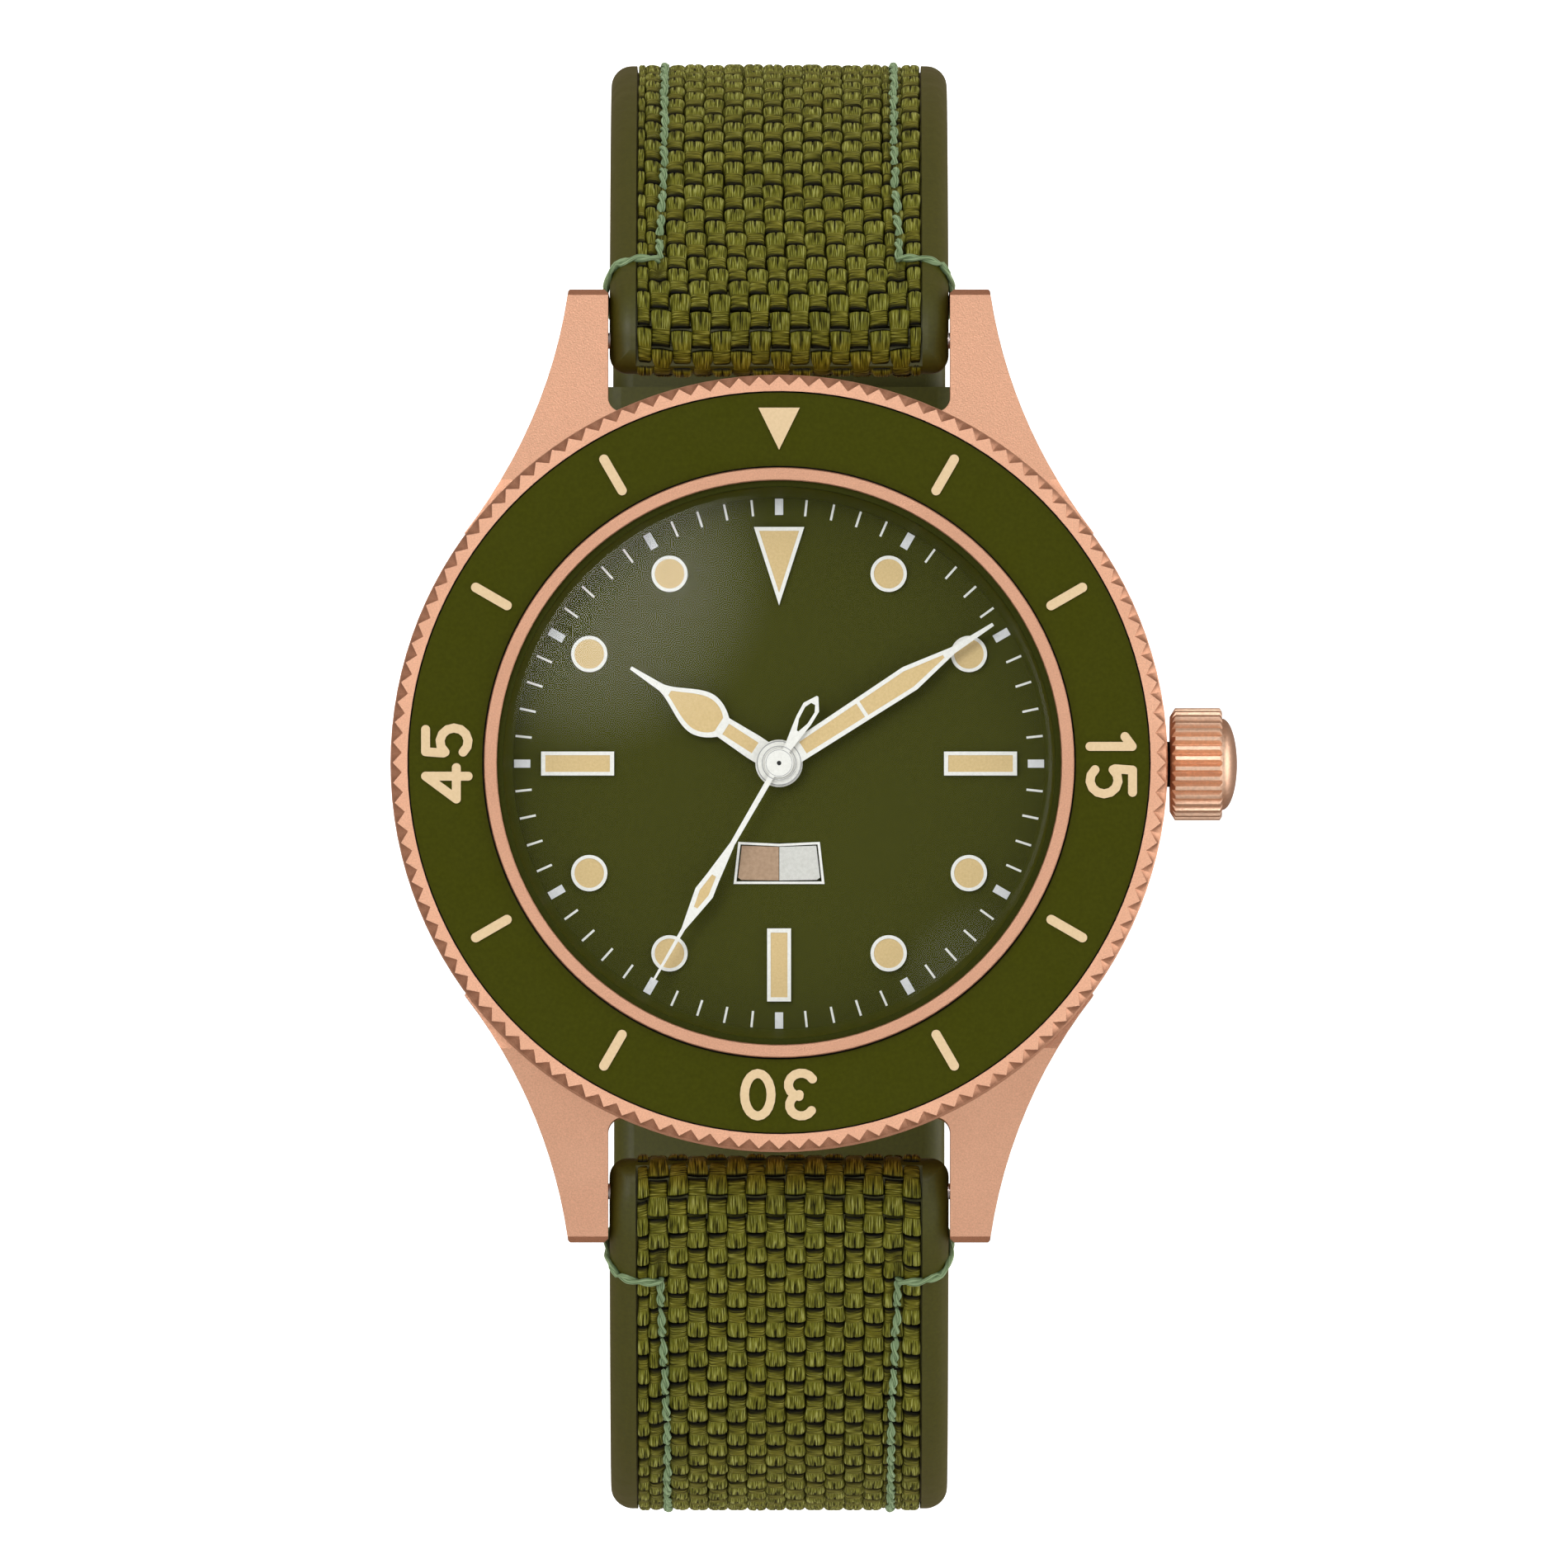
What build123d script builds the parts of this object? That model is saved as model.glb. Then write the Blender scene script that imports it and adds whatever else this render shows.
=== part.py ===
"""Dive watch with a rotating timing bezel, self-winding movement and fabric-faced rubber strap.

Millimetres. +Z out through the dial, +Y toward 12 o'clock, +X toward the crown.
The origin is the centre of the case back's outer face.
"""

import math
import os

from build123d import *

os.makedirs("parts", exist_ok=True)

FULL_TURN = 360.0

# Case
BEZEL_R = 20.5
CASE_R = 20.0
CASE_BOTTOM = 1.2
CASE_TOP = 9.3
NECK_R = 17.5
NECK_TOP = 11.2
BACK_THREAD_R = 15.4
BACK_THREAD_TOP = 2.6
MOVEMENT_BORE_R = 14.4
DIAL_LEDGE = 9.1
DIAL_BORE_R = 14.9
LUG_TIP_Y = 25.2
LUG_GAP = 18.08
BAR_Y = 22.5
BAR_Z = 3.1

# Crown and winding stem
STEM_Z = 7.6
TUBE_R = 1.2
TUBE_END_X = 22.2
CROWN_X0 = 20.62
CROWN_X1 = 23.38
CROWN_X2 = 24.18
CROWN_R = 2.97
CROWN_CAP_R = 2.42
CROWN_RIDGES = 34

# Bezel
BEZEL_BOTTOM = 9.4
BEZEL_TOP = 12.5
BEZEL_TEETH = 120
GROOVE_FOOT = 10.3
NOTCH_FOOT = 12.02
TOOTH_R = 20.42
NOTCH_VALLEY_R = 19.88
GROOVE_VALLEY_R = 20.16
INSERT_R = 19.5
INSERT_GAP = 0.08
INSERT_IN_R = 15.64
INSERT_FLOOR = 11.6
INSERT_TOP = 12.35
MARK_TOP = 12.5

# Crystal
RING_IN_R = 14.87
RING_R = 15.55
RING_EDGE = 0.05
RING_TOP = 12.75
CRYSTAL_R = 14.55
CRYSTAL_EDGE_TOP = 12.6
CRYSTAL_APEX = 14.4
CRYSTAL_THICK = 1.6

# Dial
DIAL_R = 14.7
DIAL_TOP = 9.5
FLANGE_FOOT_R = 14.05
MARKER_TOP = 9.8
HOUR_R = 11.56
DOT_R = 0.957
DOT_LUME_R = 0.78
WINDOW_R0 = 4.13
WINDOW_R1 = 6.35

# Movement
PLATE_R = 13.0
PLATE_BOTTOM = 7.2
PLATE_TOP = 8.35
BRIDGE_BOTTOM = 4.75
BRIDGE_TOP = 5.35
TRAIN_MODULE = 0.1
BARREL_MODULE = 0.12
CENTRE_TEETH = 80
THIRD_PINION_TEETH = 10
THIRD_TEETH = 75
FOURTH_PINION_TEETH = 10
FOURTH_TEETH = 80
ESCAPE_PINION_TEETH = 8
BARREL_TEETH = 96
CENTRE_PINION_TEETH = 12
CANNON_TEETH = 12
MINUTE_TEETH = 36
MINUTE_PINION_TEETH = 10
HOUR_TEETH = 40
PIVOT_R = 0.1
PIVOT_HOLE_R = 0.13

# Strap
STRAP_W = 17.94
STRAP_T = 3.2
FABRIC_W = 15.1
FABRIC_SINK = 0.35
FABRIC_PROUD = 0.3
STRAP_START_Y = 20.75
SHOULDER_Y = 22.7
SHOULDER_R = 2.0
THREAD_X = 6.2


def polar(radius, angle_deg):
    """Point at a radius and an angle counted counter-clockwise from +X."""
    turn = math.radians(angle_deg)
    return (radius * math.cos(turn), radius * math.sin(turn))


def clock_point(radius, across, hour_angle):
    """Point at a radius toward a clock direction (degrees clockwise from 12), shifted clockwise by across."""
    turn = math.radians(hour_angle)
    return (
        radius * math.sin(turn) + across * math.cos(turn),
        radius * math.cos(turn) - across * math.sin(turn),
    )


def clock_polygon(outline, hour_angle, mode=Mode.ADD):
    """Adds a face whose outline is (radius, across) pairs, turned to a clock direction."""
    Polygon(*[clock_point(r, a, hour_angle) for r, a in outline], align=None, mode=mode)


def stroke(points, width, centre, hour_angle):
    """Adds a round-ended stroke through points given as (across, up) round a centre radius."""
    for (a0, u0), (a1, u1) in zip(points[:-1], points[1:]):
        start = clock_point(centre + u0, a0, hour_angle)
        end = clock_point(centre + u1, a1, hour_angle)
        run = math.dist(start, end)
        lean = math.degrees(math.atan2(end[1] - start[1], end[0] - start[0]))
        middle = ((start[0] + end[0]) / 2, (start[1] + end[1]) / 2)
        with Locations(middle):
            SlotCenterToCenter(run, width, rotation=lean)


def bow(cx, cy, rx, ry, start, end, steps=10):
    """Points on part of an ellipse, for the curved strokes of the numerals."""
    points = []
    for i in range(steps + 1):
        turn = math.radians(start + (end - start) * i / steps)
        points.append((cx + rx * math.cos(turn), cy + ry * math.sin(turn)))
    return points


def disc(radius, z0, z1, at=(0, 0), mode=Mode.ADD):
    """Adds an upright cylinder between two heights."""
    with Locations((at[0], at[1], (z0 + z1) / 2)):
        Cylinder(radius, z1 - z0, mode=mode)


def bar_x(radius, x0, x1, y, z, mode=Mode.ADD):
    """Adds a cylinder along X between two positions."""
    with Locations(Location(((x0 + x1) / 2, y, z), (0, 90, 0))):
        Cylinder(radius, x1 - x0, mode=mode)


def brick(x0, x1, y0, y1, z0, z1, mode=Mode.ADD):
    """Adds a box between two corners."""
    with Locations(((x0 + x1) / 2, (y0 + y1) / 2, (z0 + z1) / 2)):
        Box(x1 - x0, y1 - y0, z1 - z0, mode=mode)


def tooth_ring(teeth, module, tooth_at, at=(0, 0)):
    """Outline of a toothed face with one tooth centred on the given direction."""
    pitch_r = teeth * module / 2
    tip_r = pitch_r + 0.75 * module
    root_r = pitch_r - 1.0 * module
    step = FULL_TURN / teeth
    points = []
    for i in range(teeth):
        centre = tooth_at + i * step
        for radius, share in ((root_r, -0.27), (tip_r, -0.12), (tip_r, 0.12), (root_r, 0.27)):
            x, y = polar(radius, centre + share * step)
            points.append((at[0] + x, at[1] + y))
    return points


def windows(inner, outer, at=(0, 0), count=4, turn=45.0, width=0.5):
    """Outlines of the windows between the spokes of a wheel."""
    gap = FULL_TURN / count
    half = gap / 2 - math.degrees(width / (inner + outer))
    steps = 8
    outlines = []
    for i in range(count):
        middle = turn + i * gap
        rim = [polar(outer, middle - half + 2 * half * k / steps) for k in range(steps + 1)]
        hub = [polar(inner, middle + half - 2 * half * k / steps) for k in range(steps + 1)]
        outlines.append([(at[0] + x, at[1] + y) for x, y in rim + hub])
    return outlines


def save(piece, name):
    """Writes one piece as a STEP file."""
    piece.part.label = name
    export_step(piece.part, f"parts/{name}.step")


# ---------------------------------------------------------------- case
LUG_ROOT_Y = 8.0
LUG_FILLET = 0.8
LUG_FILLET_Y = 19.43

with BuildPart() as lugs:
    with BuildSketch(Plane.XY):
        for sx in (-1, 1):
            for sy in (-1, 1):
                inner = LUG_GAP / 2
                root = inner - LUG_FILLET
                with BuildLine():
                    Polyline(
                        (sx * 16.6, sy * 12.2), (sx * 14.0, sy * LUG_ROOT_Y), (sx * root, sy * LUG_ROOT_Y),
                        (sx * root, sy * (LUG_FILLET_Y - LUG_FILLET)),
                    )
                    ThreePointArc(
                        (sx * root, sy * (LUG_FILLET_Y - LUG_FILLET)),
                        (sx * (root + LUG_FILLET * math.sin(math.pi / 4)),
                         sy * (LUG_FILLET_Y - LUG_FILLET * math.cos(math.pi / 4))),
                        (sx * inner, sy * LUG_FILLET_Y),
                    )
                    Polyline(
                        (sx * inner, sy * LUG_FILLET_Y), (sx * inner, sy * (LUG_TIP_Y - 0.2)),
                        (sx * (inner + 0.2), sy * LUG_TIP_Y), (sx * 11.06, sy * LUG_TIP_Y),
                        (sx * 11.16, sy * (LUG_TIP_Y - 0.1)),
                    )
                    ThreePointArc((sx * 11.16, sy * (LUG_TIP_Y - 0.1)), (sx * 12.63, sy * 19.3),
                                  (sx * 16.6, sy * 12.2))
                make_face()
    extrude(amount=CASE_TOP)
    # Seen from the side, the lugs slope down from the case and end above the wrist.
    with BuildSketch(Plane.YZ.offset(-BEZEL_R)):
        slope = [(15.0, 8.7), (24.9, 4.3), (LUG_TIP_Y, 3.9), (LUG_TIP_Y, 1.9), (24.4, 1.0), (21.5, 0.6),
                 (16.0, CASE_BOTTOM)]
        Polygon(*slope, *[(-y, z) for y, z in reversed(slope)], align=None)
    extrude(amount=2 * BEZEL_R, mode=Mode.INTERSECT)

with BuildPart() as mid_case:
    with BuildSketch(Plane.XZ):
        with BuildLine():
            Polyline(
                (0, CASE_BOTTOM), (18.0, CASE_BOTTOM), (19.5, 2.4), (CASE_R, 4.0),
                (CASE_R, 8.9), (19.7, CASE_TOP), (0, CASE_TOP), close=True,
            )
        make_face()
    revolve(axis=Axis.Z)
    add(lugs.part)
    disc(NECK_R, CASE_TOP - 0.5, NECK_TOP)
    disc(BACK_THREAD_R, 0, BACK_THREAD_TOP, mode=Mode.SUBTRACT)
    disc(MOVEMENT_BORE_R, 0, NECK_TOP + 1, mode=Mode.SUBTRACT)
    disc(DIAL_BORE_R, DIAL_LEDGE, NECK_TOP + 1, mode=Mode.SUBTRACT)
    with BuildSketch(Plane.XY.offset(CASE_TOP - 0.4)):
        Circle(19.3)
        Circle(17.9, mode=Mode.SUBTRACT)
    extrude(amount=0.5, mode=Mode.SUBTRACT)
    bar_x(TUBE_R, MOVEMENT_BORE_R - 1, CASE_R + 1, 0, STEM_Z, mode=Mode.SUBTRACT)
    for side in (-1, 1):
        bar_x(0.5, -10.5, 10.5, side * BAR_Y, BAR_Z, mode=Mode.SUBTRACT)
save(mid_case, "mid_case")

BACK_R = 16.6
with BuildPart() as case_back:
    with BuildSketch(Plane.XZ):
        with BuildLine():
            Polyline(
                (0, 0), (14.0, 0), (14.3, 0.15), (14.5, 0.3), (16.2, 0.5), (BACK_R, 0.8),
                (BACK_R, CASE_BOTTOM), (BACK_THREAD_R - 0.02, CASE_BOTTOM), (BACK_THREAD_R - 0.02, 2.3),
                (14.2, 2.3), (14.2, 1.1), (0, 1.1), close=True,
            )
        make_face()
    revolve(axis=Axis.Z)
    with PolarLocations(15.6, 6):
        with Locations((0, 0, 0)):
            Box(1.8, 2.6, 1.2, mode=Mode.SUBTRACT)
save(case_back, "case_back")

with BuildPart() as case_back_gasket:
    disc(BACK_THREAD_R - 0.05, 2.3, BACK_THREAD_TOP)
    disc(14.6, 2.2, BACK_THREAD_TOP + 0.1, mode=Mode.SUBTRACT)
save(case_back_gasket, "case_back_gasket")

with BuildPart() as crystal_ring:
    with BuildSketch(Plane.XZ):
        with BuildLine():
            Polyline(
                (RING_IN_R, NECK_TOP), (RING_R, NECK_TOP), (RING_R, RING_TOP - RING_EDGE),
                (RING_R - RING_EDGE, RING_TOP), (RING_IN_R + RING_EDGE, RING_TOP),
                (RING_IN_R, RING_TOP - RING_EDGE),
                close=True,
            )
        make_face()
    revolve(axis=Axis.Z)
save(crystal_ring, "crystal_ring")

with BuildPart() as crystal_gasket:
    disc(RING_IN_R, NECK_TOP, CRYSTAL_EDGE_TOP - 0.2)
    disc(CRYSTAL_R, NECK_TOP - 1, CRYSTAL_EDGE_TOP + 1, mode=Mode.SUBTRACT)
save(crystal_gasket, "crystal_gasket")

CHAMFER_R = CRYSTAL_R - 0.35
INNER_DOME_R = CRYSTAL_R - 1.0
DOME_DROP = CRYSTAL_APEX - CRYSTAL_EDGE_TOP - 0.35
INNER_APEX = CRYSTAL_APEX - CRYSTAL_THICK


def dome_middle(radius, drop, apex):
    """Middle point of a dome's outline, with the dome's centre on the axis."""
    ball_r = (radius * radius + drop * drop) / (2 * drop)
    half = math.asin(radius / ball_r) / 2
    return (ball_r * math.sin(half), apex - ball_r * (1 - math.cos(half)))


with BuildPart() as crystal:
    with BuildSketch(Plane.XZ):
        with BuildLine():
            Line((0, INNER_APEX), (0, CRYSTAL_APEX))
            ThreePointArc((0, CRYSTAL_APEX), dome_middle(CHAMFER_R, DOME_DROP, CRYSTAL_APEX),
                          (CHAMFER_R, CRYSTAL_APEX - DOME_DROP))
            Polyline(
                (CHAMFER_R, CRYSTAL_APEX - DOME_DROP), (CRYSTAL_R, CRYSTAL_EDGE_TOP),
                (CRYSTAL_R, NECK_TOP), (INNER_DOME_R, NECK_TOP),
            )
            ThreePointArc((INNER_DOME_R, NECK_TOP),
                          dome_middle(INNER_DOME_R, INNER_APEX - NECK_TOP, INNER_APEX), (0, INNER_APEX))
        make_face()
    revolve(axis=Axis.Z)
save(crystal, "crystal")

with BuildPart() as crown_tube:
    bar_x(TUBE_R, MOVEMENT_BORE_R + 0.1, TUBE_END_X, 0, STEM_Z)
    bar_x(0.65, MOVEMENT_BORE_R - 1, TUBE_END_X + 1, 0, STEM_Z, mode=Mode.SUBTRACT)
    disc(MOVEMENT_BORE_R, STEM_Z - 3, STEM_Z + 3, mode=Mode.SUBTRACT)
save(crown_tube, "crown_tube")

CLICK_FINGERS = 3
with BuildPart() as bezel_click_spring:
    with BuildSketch(Plane.XY.offset(CASE_TOP - 0.38)):
        Circle(18.5)
        Circle(18.0, mode=Mode.SUBTRACT)
        for i in range(CLICK_FINGERS):
            start = 60 + i * FULL_TURN / CLICK_FINGERS
            finger = [polar(18.3, start), polar(18.75, start + 4), polar(18.95, start + 8)]
            finger += [polar(18.97, start + 8 + 2 * k) for k in range(1, 10)]
            finger += [polar(19.2, start + 27), polar(19.2, start + 29)]
            finger += [polar(18.72, start + 29 - 2 * k) for k in range(11)]
            finger += [polar(18.2, start + 3)]
            Polygon(*finger, align=None)
    extrude(amount=0.3)
save(bezel_click_spring, "bezel_click_spring")


# ---------------------------------------------------------------- bezel
def coin_edge(tip_r, valley_r):
    """Outline of the bezel's notched edge."""
    points = []
    for i in range(BEZEL_TEETH):
        centre = i * FULL_TURN / BEZEL_TEETH
        points.append(polar(tip_r, centre))
        points.append(polar(valley_r, centre + FULL_TURN / BEZEL_TEETH / 2))
    return points


with BuildPart() as bezel:
    # Sloping notches cut the top edge into points, and shallower grooves run down the side.
    with BuildSketch(Plane.XY.offset(NOTCH_FOOT)):
        Polygon(*coin_edge(TOOTH_R, TOOTH_R - 0.02), align=None)
    with BuildSketch(Plane.XY.offset(BEZEL_TOP)):
        Polygon(*coin_edge(TOOTH_R - 0.06, NOTCH_VALLEY_R), align=None)
    loft(ruled=True)
    with BuildSketch(Plane.XY.offset(GROOVE_FOOT)):
        Polygon(*coin_edge(TOOTH_R, GROOVE_VALLEY_R), align=None)
    extrude(amount=NOTCH_FOOT - GROOVE_FOOT)
    disc(TOOTH_R - 0.02, NOTCH_FOOT - 0.1, NOTCH_FOOT)
    with BuildSketch(Plane.XZ):
        with BuildLine():
            Polyline(
                (0, BEZEL_BOTTOM), (20.2, BEZEL_BOTTOM), (BEZEL_R, BEZEL_BOTTOM + 0.25),
                (BEZEL_R, GROOVE_FOOT - 0.1), (TOOTH_R - 0.02, GROOVE_FOOT), (0, GROOVE_FOOT), close=True,
            )
        make_face()
    revolve(axis=Axis.Z)
    disc(INSERT_R + INSERT_GAP, INSERT_FLOOR, BEZEL_TOP + 1, mode=Mode.SUBTRACT)
    disc(INSERT_IN_R - 0.05, BEZEL_BOTTOM - 1, BEZEL_TOP + 1, mode=Mode.SUBTRACT)
    disc(NECK_R + 0.05, BEZEL_BOTTOM - 1, NECK_TOP + 0.08, mode=Mode.SUBTRACT)
save(bezel, "bezel")

BAR_HOURS = [hour * 30 for hour in (1, 2, 4, 5, 7, 8, 10, 11)]
MARK_R = 17.5
STROKE = 0.47
ONE = [(-0.42, 0.72), (0.1, 1.1), (0.1, -1.12)]
FIVE = [(0.62, 1.12), (-0.55, 1.12), (-0.62, 0.2)] + bow(-0.02, -0.38, 0.72, 0.74, 140, -140)
THREE = bow(-0.05, 0.55, 0.62, 0.57, 150, -80) + bow(-0.05, -0.52, 0.68, 0.62, 80, -150)
ZERO = bow(0, 0, 0.7, 1.12, 90, 450, 20)
FOUR = [(0.4, -1.12), (0.4, 1.12), (-0.8, -0.5), (0.85, -0.5)]


def shifted(points, across):
    """The same stroke moved sideways."""
    return [(a + across, u) for a, u in points]


NUMERALS = ((90, ONE, FIVE, 0.95), (180, THREE, ZERO, 1.12), (270, FOUR, FIVE, 1.12))


def bezel_marks(grow):
    """Adds the faces of all bezel marks, a little larger for the pockets they sit in."""
    clock_polygon([(18.7 + grow, -1.09 - grow), (18.7 + grow, 1.09 + grow), (16.48 - grow, 0)], 0)
    for angle in BAR_HOURS:
        stroke([(0, -0.95), (0, 0.95)], 0.5 + 2 * grow, MARK_R, angle)
    for angle, first, second, gap in NUMERALS:
        stroke(shifted(first, -gap), STROKE + 2 * grow, MARK_R, angle)
        stroke(shifted(second, gap), STROKE + 2 * grow, MARK_R, angle)


with BuildPart() as bezel_insert:
    disc(INSERT_R, INSERT_FLOOR, INSERT_TOP)
    disc(INSERT_IN_R, INSERT_FLOOR - 1, INSERT_TOP + 1, mode=Mode.SUBTRACT)
    with BuildSketch(Plane.XY.offset(INSERT_TOP - 0.3)):
        bezel_marks(0.0)
    extrude(amount=1, mode=Mode.SUBTRACT)
save(bezel_insert, "bezel_insert")

with BuildPart() as bezel_markers:
    with BuildSketch(Plane.XY.offset(INSERT_TOP - 0.3)):
        bezel_marks(0.0)
    extrude(amount=MARK_TOP - INSERT_TOP + 0.3)
save(bezel_markers, "bezel_markers")


# ---------------------------------------------------------------- crown and keyless works
with BuildPart() as crown_grip:
    with BuildSketch(Plane.XZ):
        with BuildLine():
            Polyline(
                (CROWN_X0, STEM_Z), (CROWN_X0, STEM_Z + CROWN_R - 0.45), (CROWN_X0 + 0.28, STEM_Z + CROWN_R),
                (CROWN_X1 - 0.12, STEM_Z + CROWN_R), (CROWN_X1, STEM_Z + CROWN_R - 0.2), (CROWN_X1, STEM_Z),
                close=True,
            )
        make_face()
    revolve(axis=Axis((0, 0, STEM_Z), (1, 0, 0)))
    ridged = []
    for i in range(CROWN_RIDGES):
        centre = i * FULL_TURN / CROWN_RIDGES
        ridged.append(polar(CROWN_R, centre - 1.9))
        ridged.append(polar(CROWN_R, centre + 1.9))
        ridged.append(polar(CROWN_R - 0.3, centre + FULL_TURN / CROWN_RIDGES / 2))
    with BuildSketch(Plane.YZ.offset(CROWN_X0 - 1)):
        Polygon(*[(y, z + STEM_Z) for y, z in ridged], align=None)
    extrude(amount=CROWN_X1 - CROWN_X0 + 2, mode=Mode.INTERSECT)

with BuildPart() as crown:
    with BuildSketch(Plane.XZ):
        with BuildLine():
            Polyline((CROWN_X2, STEM_Z), (CROWN_X1 - 0.2, STEM_Z), (CROWN_X1 - 0.2, STEM_Z + CROWN_CAP_R),
                     (CROWN_X1, STEM_Z + CROWN_CAP_R))
            EllipticalCenterArc((CROWN_X1, STEM_Z), CROWN_X2 - CROWN_X1, CROWN_CAP_R,
                                start_angle=0, arc_size=90)
        make_face()
    revolve(axis=Axis((0, 0, STEM_Z), (1, 0, 0)))
    add(crown_grip.part)
    bar_x(TUBE_R + 0.05, CROWN_X0 - 1, 22.6, 0, STEM_Z, mode=Mode.SUBTRACT)
    bar_x(0.45, 22, 23.4, 0, STEM_Z, mode=Mode.SUBTRACT)
save(crown, "crown")

SQUARE = 0.62
GROOVE_X = 6.3
with BuildPart() as winding_stem:
    bar_x(0.45, 10.6, 23.4, 0, STEM_Z)
    brick(5.6, 10.6, -SQUARE / 2, SQUARE / 2, STEM_Z - SQUARE / 2, STEM_Z + SQUARE / 2)
    with Locations(Location((GROOVE_X, 0, STEM_Z), (0, 90, 0))):
        Cylinder(1.0, 0.44, mode=Mode.SUBTRACT)
    bar_x(0.2, GROOVE_X - 0.3, GROOVE_X + 0.3, 0, STEM_Z)
save(winding_stem, "winding_stem")

PINION_X0 = 8.0
PINION_X1 = 9.6
with BuildPart() as winding_pinion:
    with BuildSketch(Plane.YZ.offset(PINION_X0)):
        Polygon(*tooth_ring(14, 0.11, 0, (0, STEM_Z)), align=None)
    extrude(amount=PINION_X1 - PINION_X0)
    clear = SQUARE / 2 + 0.03
    brick(PINION_X0 - 1, PINION_X1 + 1, -clear, clear, STEM_Z - clear, STEM_Z + clear, mode=Mode.SUBTRACT)
save(winding_pinion, "winding_pinion")

LEVER_Y = 3.0
with BuildPart() as setting_lever:
    disc(0.6, 8.4, 8.6, (GROOVE_X, LEVER_Y))
    brick(GROOVE_X - 0.3, GROOVE_X + 0.3, 0, LEVER_Y, 8.4, 8.6)
    disc(0.3, 8.4, 8.6, (GROOVE_X, 0))
    disc(0.13, 7.83, 8.6, (GROOVE_X, 0))
    disc(0.2, 8.3, 9.0, (GROOVE_X, LEVER_Y), mode=Mode.SUBTRACT)
save(setting_lever, "setting_lever")


# ---------------------------------------------------------------- dial
with BuildPart() as dial:
    disc(DIAL_R, DIAL_LEDGE, DIAL_TOP)
    disc(0.95, DIAL_LEDGE - 1, DIAL_TOP + 1, mode=Mode.SUBTRACT)
    with BuildSketch(Plane.XY.offset(DIAL_LEDGE + 0.15)):
        clock_polygon([(WINDOW_R0 + 0.05, -2.1), (WINDOW_R0 + 0.05, 2.1), (WINDOW_R1 - 0.05, 2.34),
                       (WINDOW_R1 - 0.05, -2.34)], 180)
    extrude(amount=1, mode=Mode.SUBTRACT)
save(dial, "dial")

with BuildPart() as flange_ring:
    with BuildSketch(Plane.XZ):
        with BuildLine():
            Polyline(
                (FLANGE_FOOT_R, DIAL_TOP), (DIAL_BORE_R - 0.02, DIAL_TOP), (DIAL_BORE_R - 0.02, NECK_TOP),
                (14.65, NECK_TOP), (FLANGE_FOOT_R, DIAL_TOP + 0.35), close=True,
            )
        make_face()
    revolve(axis=Axis.Z)
save(flange_ring, "flange_ring")

DOT_HOURS = (1, 2, 4, 5, 7, 8, 10, 11)
BAR_OUTLINE = [(8.7, -0.63), (8.7, 0.63), (12.55, 0.63), (12.55, -0.63)]
BAR_LUME = [(8.92, -0.44), (8.92, 0.44), (12.33, 0.44), (12.33, -0.44)]
TRIANGLE = [(12.48, -1.33), (12.48, 1.33), (8.35, 0)]
TRIANGLE_LUME = [(12.28, -1.06), (12.28, 1.06), (9.0, 0)]

with BuildPart() as hour_marker_frames:
    with BuildSketch(Plane.XY.offset(DIAL_TOP)):
        for hour in DOT_HOURS:
            with Locations(clock_point(HOUR_R, 0, hour * 30)):
                Circle(DOT_R)
        for angle in (90, 180, 270):
            clock_polygon(BAR_OUTLINE, angle)
        clock_polygon(TRIANGLE, 0)
    extrude(amount=MARKER_TOP - DIAL_TOP)
    with BuildSketch(Plane.XY.offset(DIAL_TOP)):
        for hour in DOT_HOURS:
            with Locations(clock_point(HOUR_R, 0, hour * 30)):
                Circle(DOT_LUME_R)
        for angle in (90, 180, 270):
            clock_polygon(BAR_LUME, angle)
        clock_polygon(TRIANGLE_LUME, 0)
    extrude(amount=1, mode=Mode.SUBTRACT)
save(hour_marker_frames, "hour_marker_frames")

with BuildPart() as hour_marker_lume:
    with BuildSketch(Plane.XY.offset(DIAL_TOP)):
        for hour in DOT_HOURS:
            with Locations(clock_point(HOUR_R, 0, hour * 30)):
                Circle(DOT_LUME_R)
        for angle in (90, 180, 270):
            clock_polygon(BAR_LUME, angle)
        clock_polygon(TRIANGLE_LUME, 0)
    extrude(amount=MARKER_TOP - DIAL_TOP - 0.05)
save(hour_marker_lume, "hour_marker_lume")

WINDOW_EDGE = [(WINDOW_R0, -2.15), (WINDOW_R0 + 0.1, 0), (WINDOW_R0, 2.15), (WINDOW_R1, 2.4),
               (WINDOW_R1, -2.4)]
WINDOW_HOLE = [(WINDOW_R0 + 0.13, -2.03), (WINDOW_R0 + 0.23, 0), (WINDOW_R0 + 0.13, 2.03),
               (WINDOW_R1 - 0.13, 2.25), (WINDOW_R1 - 0.13, -2.25)]
PAPER_EDGE = [(WINDOW_R0 + 0.26, 0.015), (WINDOW_R0 + 0.2, 1.96), (WINDOW_R1 - 0.34, 2.16),
              (WINDOW_R1 - 0.22, 2.0), (WINDOW_R1 - 0.19, 0.015)]
with BuildPart() as moisture_frame:
    with BuildSketch(Plane.XY.offset(DIAL_TOP)):
        clock_polygon(WINDOW_EDGE, 180)
        clock_polygon(WINDOW_HOLE, 180, mode=Mode.SUBTRACT)
    extrude(amount=0.12)
save(moisture_frame, "moisture_frame")

with BuildPart() as moisture_papers:
    for side in (-1, 1):
        with BuildSketch(Plane.XY.offset(DIAL_LEDGE + 0.15)):
            clock_polygon([(r, side * a) for r, a in PAPER_EDGE], 180)
        extrude(amount=0.3)
save(moisture_papers, "moisture_papers")


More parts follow.
